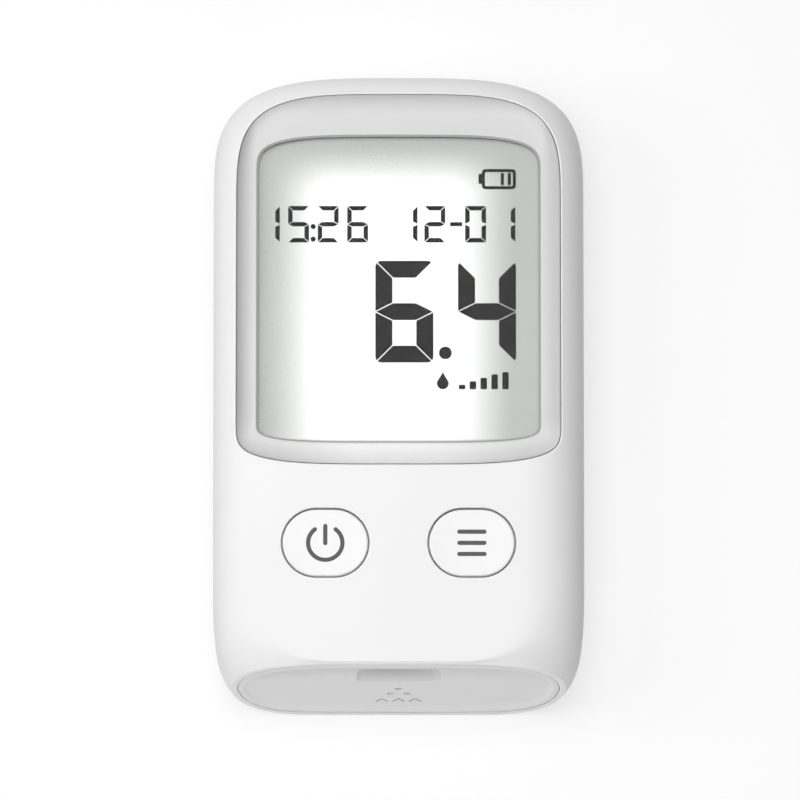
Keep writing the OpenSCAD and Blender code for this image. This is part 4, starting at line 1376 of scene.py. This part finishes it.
@dataclass
class EndCap:
    """The cap in the slanted end, with the strip port's pocket and the marks cut under it.

    A border step is how far in from the border it lies, its height and its share of the cove.
    """

    shop: Workshop
    opening: EndOpening
    floor: float = -0.5
    border: float = 0.95
    lower_slope: float = 1.6
    cove_start: float = 13.4
    cove_rate: float = 0.055
    cove_depth: float = 0.75
    pocket: Triple = (13.2, 4.0, 0.9)
    pocket_v: float = 14.58
    pocket_depth: float = 1.9
    ramp: float = 0.6
    end_lean: float = 0.55
    mark_depth: float = 0.35
    dots: tuple[Point, ...] = ((0.0, 9.7), (-1.3, 7.7), (1.3, 7.7))
    dot_size: Point = (0.55, 0.5)
    arrows: Triple = (-2.6, 0.0, 2.6)
    arrow: tuple[Point, ...] = ((-0.85, 4.5), (0.0, 5.7), (0.85, 4.5))
    arrow_line: float = 0.42
    slot_z: float = 13.3
    slot: Point = (4.1, 0.6)
    sleeve: Point = (5.3, 1.4)
    inner_plate: Triple = (2.8, -3.0, -1.35)
    hooks: tuple[Box, Box] = (
        ((21.9, 8.2, -4.4), (22.8, 12.2, -2.5)),
        ((21.8, 8.1, -4.5), (24.2, 12.3, -3.25)),
    )
    border_steps: tuple[Triple, ...] = (
        (-0.16, 0.0, 0.0), (-0.06, -0.03, 0.0), (0.0, -0.1, 0.0), (0.08, -0.22, 0.2), (0.18, -0.34, 0.55),
        (0.3, -0.43, 0.85), (0.45, -0.48, 1.0),
    )
    floor_steps: tuple[float, ...] = (0.6, 1.2, 1.9, 2.7, 3.5, 4.3, 5.1, 5.9, 6.7)

    def cove(self, v: float) -> float:
        """How much deeper the dished floor lies towards its upper edge."""
        return min(self.cove_depth, self.cove_rate * max(0.0, v - self.cove_start) ** 2)

    def _plate(self) -> Solid:
        """The cap's plate with its dished face."""
        outline, gap = self.shop.form.end_outline(), self.opening.rim + 0.1
        profile = [(gap, -self.opening.plate), (gap, -0.14), (gap + 0.04, -0.04), (gap + 0.14, 0.0)]
        far = gap + self.border
        rings = [level(shrunk(outline, g), w) for g, w in profile]
        top, low = max(v for _, v in outline), min(v for _, v in outline)
        inner = tuple((grown, self.floor, 1.0) for grown in self.floor_steps)
        for k, (grown, w, share) in enumerate(self.border_steps + inner):
            lift = self.lower_slope * min(1.0, max(0, k - 1) / 6)
            ring = [(u, v + lift * (top - v) / (top - low)) for u, v in shrunk(outline, far + grown)]
            rings.append([Vector((u, v, w - share * self.cove(v))) for u, v in ring])
        return loft(rings)

    def _pocket_cutter(self) -> Solid:
        """Cuts the pocket round the port, with soft edges."""
        width, height, radius = self.pocket
        low, start = self.floor - self.pocket_depth, self.floor - 0.06
        rings = []
        for w in (low, low + 0.4, low + 0.8, low + 1.2, low + 1.6, start):
            rise = start - w
            side = -self.end_lean * rise
            tall = height - self.ramp * rise
            box = round_box(width + 2 * side, tall, min(radius - 0.2 * rise, 0.45 * tall))
            rings.append([Vector((u, v + self.ramp * rise / 2, w)) for u, v in box])
        for grown, w in ((0.05, start + 0.04), (0.16, self.floor + 0.02), (0.3, self.floor + 0.6)):
            rings.append(level(round_box(width + 2 * grown, height + 2 * grown, radius + grown), w))
        return loft(rings).moved(Matrix.Translation((0, self.pocket_v, 0)))

    def _marks(self) -> Solid:
        """Cuts three dots and three arrowheads that point at the port."""
        marks = [ellipse(at, *self.dot_size, 24) for at in self.dots]
        marks += [stroke([(u + x, v) for x, v in self.arrow], self.arrow_line, 6) for u in self.arrows]
        return gathered(*(slab(mark, self.floor - self.mark_depth, self.floor + 0.4) for mark in marks))

    def build(self) -> bpy.types.Object:
        """Build the cap."""
        form, z = self.shop.form, self.slot_z
        gap, low, high = self.inner_plate
        cap = self._plate()
        cap.join(slab(shrunk(form.end_outline(), gap), low, high))
        cap.join(*(twin_blocks(*hook) for hook in self.hooks))
        cap.cut(self._pocket_cutter(), self._marks())
        cap.moved(self.opening.matrix())
        half_w, half_h = self.sleeve
        cap.join(block((-half_w, form.end_y(z) + 2.6, z - half_h), (half_w, -42.2, z + half_h)))
        half_w, half_h = self.slot
        cap.cut(block((-half_w, -form.length / 2, z - half_h), (half_w, -41.1, z + half_h)))
        return self.shop.piece("end_cap", cap, CAP_GREY, Body.CASE, "cap_grey", ["port_cap"])


@dataclass
class KeyCap:
    """A push button's cap with its dished top and printed symbol."""

    shop: Workshop
    name: str
    node: str
    body: Body
    centre: Point
    size: Point = (13.3, 10.5)
    flange: Point = (15.8, 13.0)
    flange_z: Point = (18.0, 18.6)
    top_z: float = 20.9
    dish: float = 0.25
    ball: float = 95.3
    edge: float = 0.32
    inner_gaps: tuple[float, ...] = (0.5, 0.9, 1.5, 2.2, 3.0, 3.8, 4.6, 5.1)
    print_span: Point = (-0.02, 0.012)

    def surface(self, x: float, y: float) -> float:
        """Height of the dished top at a point measured from the cap's centre."""
        return self.top_z - self.dish + self.ball - math.sqrt(self.ball**2 - x * x - y * y)

    def _ring(self, gap: float, drop: float) -> Ring:
        """A ring of the top that lies a gap inside the cap's side."""
        shape = stadium(self.size[0] - 2 * gap, self.size[1] - 2 * gap)
        return [Vector((x, y, self.surface(x, y) - drop)) for x, y in shape]

    def cap(self) -> bpy.types.Object:
        """Build the cap."""
        low, high = self.flange_z
        rings = [level(stadium(*self.flange), low), level(stadium(*self.flange), high),
                 level(stadium(*self.size), high)]
        rings += [self._ring(gap, drop) for gap, drop in edge_round(self.edge, range(0, 91, 15))]
        rings += [self._ring(gap, 0.0) for gap in self.inner_gaps]
        solid = loft(rings).moved(Matrix.Translation((*self.centre, 0)))
        return self.shop.piece(self.name, solid, KEY_WHITE, self.body, "button_white", [self.node])

    def print_symbol(self, name: str, shapes: Sequence[Outline]) -> bpy.types.Object:
        """Print outlines on the dished top.

        Args:
            name: The piece's name.
            shapes: Outlines measured from the cap's centre.

        Returns:
            The printed piece.
        """
        solid = gathered(*(slab(shape, *self.print_span) for shape in shapes))
        for vertex in solid.mesh.vertices:
            vertex.co.z += self.surface(vertex.co.x, vertex.co.y)
        solid.moved(Matrix.Translation((*self.centre, 0)))
        return self.shop.piece(name, solid, PRINT, self.body, "button_white")


def power_mark(radius: float = 2.67, gap: float = 74.0, steps: int = 48) -> list[Outline]:
    """The usual power mark: an open ring, whose gap is in degrees, and a bar."""
    turn = [math.radians(90 + gap / 2 + (360 - gap) * k / steps) for k in range(steps + 1)]
    return [stroke([(radius * math.cos(a), radius * math.sin(a)) for a in turn], PRINT_LINE),
            stroke([(0.0, 2.65), (0.0, -0.05)], PRINT_LINE)]


def menu_mark(half_w: float = 1.95, pitch: float = 1.75) -> list[Outline]:
    """Three bars, the usual mark for a menu."""
    return [stroke([(-half_w, y), (half_w, y)], PRINT_LINE) for y in (-pitch, 0.0, pitch)]


class Segment(Enum):
    """The seven segments of a digit, named by where they are."""

    TOP = "top"
    UPPER_RIGHT = "upper_right"
    LOWER_RIGHT = "lower_right"
    BOTTOM = "bottom"
    LOWER_LEFT = "lower_left"
    UPPER_LEFT = "upper_left"
    MIDDLE = "middle"


ALL = tuple(Segment)
DIGITS = {
    "0": tuple(s for s in ALL if s is not Segment.MIDDLE),
    "1": (Segment.UPPER_RIGHT, Segment.LOWER_RIGHT),
    "2": tuple(s for s in ALL if s not in (Segment.UPPER_LEFT, Segment.LOWER_RIGHT)),
    "4": (Segment.UPPER_LEFT, Segment.UPPER_RIGHT, Segment.LOWER_RIGHT, Segment.MIDDLE),
    "5": tuple(s for s in ALL if s not in (Segment.UPPER_RIGHT, Segment.LOWER_LEFT)),
    "6": tuple(s for s in ALL if s is not Segment.UPPER_RIGHT),
}


@dataclass
class DisplayMarks:
    """What the display shows: digits, a battery sign, a drop and level bars.

    A digit's size is its width, height and line width. Digits are placed by their right edge.
    """

    shop: Workshop
    low: float = 17.44
    high: float = 17.47
    small: Triple = (3.36, 5.88, 0.8)
    small_gap: float = 0.1
    small_y: float = 22.71
    clock: tuple[tuple[str, float], ...] = (
        ("1", -18.55), ("5", -13.98), ("2", -9.34), ("6", -4.73),
        ("1", 3.0), ("2", 7.35), ("0", 13.73), ("1", 18.32),
    )
    colon: tuple[Point, Point] = ((-13.37, 25.28), (-13.37, 23.28))
    colon_dot: float = 0.4
    dash: tuple[Point, Point] = ((8.06, 25.33), (9.94, 25.97))
    big: Triple = (9.2, 16.24, 2.8)
    big_gap: float = 0.14
    big_y: float = 3.66
    value: tuple[tuple[str, float], ...] = (("6", 5.5), ("4", 18.42))
    point: Point = (7.3, 5.25)
    battery: tuple[Point, Point] = ((13.025, 31.2), (18.37, 34.42))
    battery_rounds: Point = (0.63, 0.25)
    battery_line: float = 0.49
    battery_parts: tuple[tuple[Point, Point], ...] = (
        ((12.52, 32.07), (13.02, 33.66)), ((16.0, 31.85), (16.5, 33.8)), ((17.08, 31.85), (17.6, 33.8)),
    )
    drop_at: Point = (6.9, 0.42)
    drop_radius: float = 0.92
    drop_narrowing: float = 0.72
    level_bars: tuple[Point, ...] = ((9.4, 0.2), (11.1, 0.75), (12.8, 1.3), (14.5, 1.85), (16.2, 2.2))
    level_foot: float = -0.5

    @staticmethod
    def _segment(segment: Segment, width: float, height: float, line: float) -> Outline:
        """A segment's outline, in a digit whose lower left corner is the origin."""
        mid, half, turn = height / 2, line / 2, line * 0.34
        near, side, lift = turn * 0.293, turn * 0.618, turn * 0.076
        top = [(near, height - near), (side, height - lift), (turn, height), (width - turn, height),
               (width - side, height - lift), (width - near, height - near),
               (width - line, height - line), (line, height - line)]
        upper = [(0.0, height - turn), (lift, height - side), (near, height - near), (line, height - line),
                 (line, mid + half), (0.0, mid)]
        middle = [(0.0, mid), (line, mid + half), (width - line, mid + half), (width, mid),
                  (width - line, mid - half), (line, mid - half)]
        flip_x = [(width - x, y) for x, y in upper]
        shapes = {
            Segment.TOP: top,
            Segment.BOTTOM: [(x, height - y) for x, y in top],
            Segment.UPPER_LEFT: upper,
            Segment.UPPER_RIGHT: flip_x,
            Segment.LOWER_LEFT: [(x, height - y) for x, y in upper],
            Segment.LOWER_RIGHT: [(x, height - y) for x, y in flip_x],
            Segment.MIDDLE: middle,
        }
        return shapes[segment]

    def digit(self, text: str, right: float, bottom: float, size: Triple, gap: float) -> list[Outline]:
        """A digit's lit segments.

        Args:
            text: The digit.
            right: Its right edge.
            bottom: Its lower edge.
            size: Width, height and line width.
            gap: Gap between neighbouring segments.

        Returns:
            One outline for each lit segment.
        """
        width, height, line = size
        shapes = []
        for segment in DIGITS[text]:
            outline = inset(self._segment(segment, width, height, line), gap / 2)
            shapes.append([(x + right - width, y + bottom) for x, y in outline])
        return shapes

    def flat(self, outline: Outline) -> Solid:
        """An outline as thick as the display's marks."""
        return slab(outline, self.low, self.high)

    def _battery(self) -> list[Solid]:
        """The battery sign."""
        (x0, y0), (x1, y1) = self.battery
        middle = Matrix.Translation(((x0 + x1) / 2, (y0 + y1) / 2, 0))
        outer, inner = (round_box(x1 - x0 - 2 * gap, y1 - y0 - 2 * gap, radius)
                        for gap, radius in zip((0.0, self.battery_line), self.battery_rounds))
        parts = [softened(oblong(*ends), 0.1) for ends in self.battery_parts]
        return [collar(outer, inner, self.low, self.high).moved(middle), *map(self.flat, parts)]

    def _drop_and_level(self) -> list[Outline]:
        """A drop and a row of level bars."""
        (x, y), radius, drop = self.drop_at, self.drop_radius, []
        for along, up in ellipse((0.0, 0.0), 1.0, 1.0, 32):
            pull = max(0.0, up) ** 6
            narrow = 1 - self.drop_narrowing * pull
            drop.append((x + radius * along * narrow, y + radius * up + radius * pull))
        bars = [softened(oblong((x, self.level_foot), (x + 1.0, top)), 0.15) for x, top in self.level_bars]
        return [drop] + bars

    def build(self) -> list[bpy.types.Object]:
        """Build the marks."""
        clock = [shape for text, right in self.clock
                 for shape in self.digit(text, right, self.small_y, self.small, self.small_gap)]
        clock += [ellipse(at, self.colon_dot, self.colon_dot, 24) for at in self.colon]
        clock.append(softened(oblong(*self.dash), 0.12))
        value = [shape for text, right in self.value
                 for shape in self.digit(text, right, self.big_y, self.big, self.big_gap)]
        value.append(ellipse(self.point, 1.0, 1.0, 32))
        groups = {
            "clock_digits": [self.flat(shape) for shape in clock],
            "value_digits": [self.flat(shape) for shape in value],
            "battery_sign": self._battery(),
            "drop_and_level": [self.flat(shape) for shape in self._drop_and_level()],
        }
        return [self.shop.piece(name, gathered(*parts), INK, Body.CASE, "polariser_film")
                for name, parts in groups.items()]


@dataclass
class Insides:
    """Finishes of the solids that are carried over as they are."""

    shop: Workshop
    nodes: dict[str, bpy.types.Object]
    record: dict

    def dress(self) -> None:
        """Give each carried-over solid its finish."""
        special = {
            "display_lens": LensFinish(),
            "lcd_front_polariser": DisplayFinish(),
            "left_cell": CellFinish(),
            "right_cell": CellFinish(),
        }
        for name, node in sorted(self.nodes.items()):
            slot = self.record_slot(name)
            kind = special.get(name) or SLOT_FINISHES.get(slot)
            if kind is None:
                LOG.info("%s is replaced by a piece", name)
                continue
            material = self.shop.finish(kind)
            node.data.materials.clear()
            node.data.materials.append(material)
            LOG.info("%s wears %s", name, material.name)

    def record_slot(self, name: str) -> str:
        """The material slot that the record gives a node."""
        return next(part["material_slot"] for part in self.record["subparts"] if part["node"] == name)


# ---------- studio ----------


@dataclass(frozen=True)
class Lamp:
    """A soft round lamp: which way it hangs from the object, and its power in watts."""

    name: str
    way: Triple
    power: float


@dataclass
class Studio:
    """Camera, lamps, world and floor: lengths in metres, lens and sensor in millimetres."""

    target: Triple = (0.00022, -0.0011, 0.0105)
    distance: float = 1.7415
    elevation: float = math.radians(81)
    lens: float = 500.0
    sensor: float = 36.0
    clip: Point = (0.1, 20.0)
    lamps: tuple[Lamp, ...] = (
        Lamp("top_lamp", (-0.06, 0.16, 1.0), 0.64),
        Lamp("near_lamp", (0.0, -0.16, 1.0), 0.30),
        Lamp("left_lamp", (-1.0, 0.1, 1.0), 0.42),
        Lamp("port_lamp", (0.0, -1.0, 0.25), 0.47),
    )
    lamp_distance: float = 0.4
    lamp_size: float = 0.24
    room: tuple[tuple[Triple, float], ...] = (((-1.0, 0.0, 0.0), 0.13), ((0.0, 1.0, 0.0), 0.63))
    floor_radius: float = 3.0
    floor_gap: float = 0.00005
    floor_glow: Point = (0.0, 0.66)
    floor_colour: Point = (0.8, 0.36)

    def _placed(self, name: str, data: bpy.types.ID, way: Vector, distance: float) -> bpy.types.Object:
        """Put a camera or a lamp that far from the object, turned to look at it."""
        obj = bpy.data.objects.new(name, data)
        obj.location = Vector(self.target) + way * distance
        obj.rotation_euler = way.to_track_quat("Z", "Y").to_euler()
        bpy.context.scene.collection.objects.link(obj)
        return obj

    def camera(self) -> None:
        """Place the camera."""
        data = bpy.data.cameras.new("photo_camera")
        data.lens, data.sensor_width = self.lens, self.sensor
        data.clip_start, data.clip_end = self.clip
        back = Vector((0.0, -math.cos(self.elevation), math.sin(self.elevation)))
        bpy.context.scene.camera = self._placed("photo_camera", data, back, self.distance)

    def hang(self, lamp: Lamp) -> None:
        """Hang a lamp that shines at the object."""
        data = bpy.data.lights.new(lamp.name, "AREA")
        data.shape, data.size, data.energy = "DISK", self.lamp_size, lamp.power
        self._placed(lamp.name, data, Vector(lamp.way).normalized(), self.lamp_distance)

    @staticmethod
    def _seen(graph: Graph) -> bpy.types.NodeSocket:
        """1 where a camera, glossy or transmission ray looks."""
        path = graph.node("LightPath").outputs
        either = graph.math("MAXIMUM", path["Is Camera Ray"], path["Is Glossy Ray"])
        return graph.math("MAXIMUM", either, path["Is Transmission Ray"])

    def world(self) -> None:
        """A white world that lights the object only softly, from the left and the display end."""
        world = bpy.data.worlds.new("white_room")
        world.use_nodes = True
        graph = Graph(world.node_tree)
        direction, ambient = graph.node("TexCoord").outputs["Generated"], 0.0
        for way, share in self.room:
            slope = graph.node("VectorMath", {0: direction, 1: way}, operation="DOT_PRODUCT").outputs["Value"]
            lit = graph.math("MULTIPLY", graph.math("MAXIMUM", slope), share)
            ambient = graph.math("ADD", ambient, lit)
        graph.fill(world.node_tree.nodes["Background"], {
            "Color": (1.0, 1.0, 1.0),
            "Strength": graph.mapped(self._seen(graph), (ambient, 1.0)),
        })
        bpy.context.scene.world = world

    def floor(self) -> None:
        """A white floor that keeps the object's shadow."""
        bm = bmesh.new()
        bmesh.ops.create_circle(bm, cap_ends=True, segments=96, radius=self.floor_radius)
        mesh = bpy.data.meshes.new("floor")
        bm.to_mesh(mesh)
        bm.free()
        material, graph, _ = new_material("floor_white")
        graph.tree.nodes.clear()
        seen = self._seen(graph)
        diffuse = graph.node("BsdfDiffuse", {"Color": graph.mapped(seen, self.floor_colour)})
        glow = graph.node("Emission", {"Strength": graph.mapped(seen, self.floor_glow)})
        both = graph.node("AddShader", {0: diffuse.outputs["BSDF"], 1: glow.outputs["Emission"]})
        graph.node("OutputMaterial", {"Surface": both.outputs["Shader"]})
        mesh.materials.append(material)
        floor = bpy.data.objects.new("floor", mesh)
        floor.location.z = -self.floor_gap
        bpy.context.scene.collection.objects.link(floor)

    def build(self) -> None:
        """Build the studio."""
        self.camera()
        for lamp in self.lamps:
            self.hang(lamp)
        self.world()
        self.floor()
        bpy.context.scene.view_settings.view_transform = "Standard"


def corners(bounds: tuple[Vector, Vector]) -> list[list[float]]:
    """A box as plain lists."""
    return [list(corner) for corner in bounds]


def main() -> None:
    """Build the scene."""
    logging.basicConfig(level=logging.INFO, format="%(name)s: %(message)s")
    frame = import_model()
    Studio().build()
    form = CaseForm()
    shop = Workshop(form, Groups())
    windows, opening = WindowShapes(), EndOpening(form)
    front = FrontCase(shop, windows, opening)
    front.build()
    RearCase(shop, opening).build()
    BatteryDoor(shop).build()
    DishFrame(shop, windows).build()
    EndCap(shop, opening).build()
    key_x, key_y = front.key
    for name, body, x, shapes in (("power", Body.POWER_KEY, -key_x, power_mark()),
                                  ("set", Body.SET_KEY, key_x, menu_mark())):
        key = KeyCap(shop, f"{name}_cap", f"{name}_button", body, (x, key_y))
        key.cap()
        key.print_symbol(f"{name}_symbol", shapes)
    DisplayMarks(shop).build()
    Insides(shop, frame["nodes"], frame["record"]).dress()


if __name__ == "__main__":
    main()
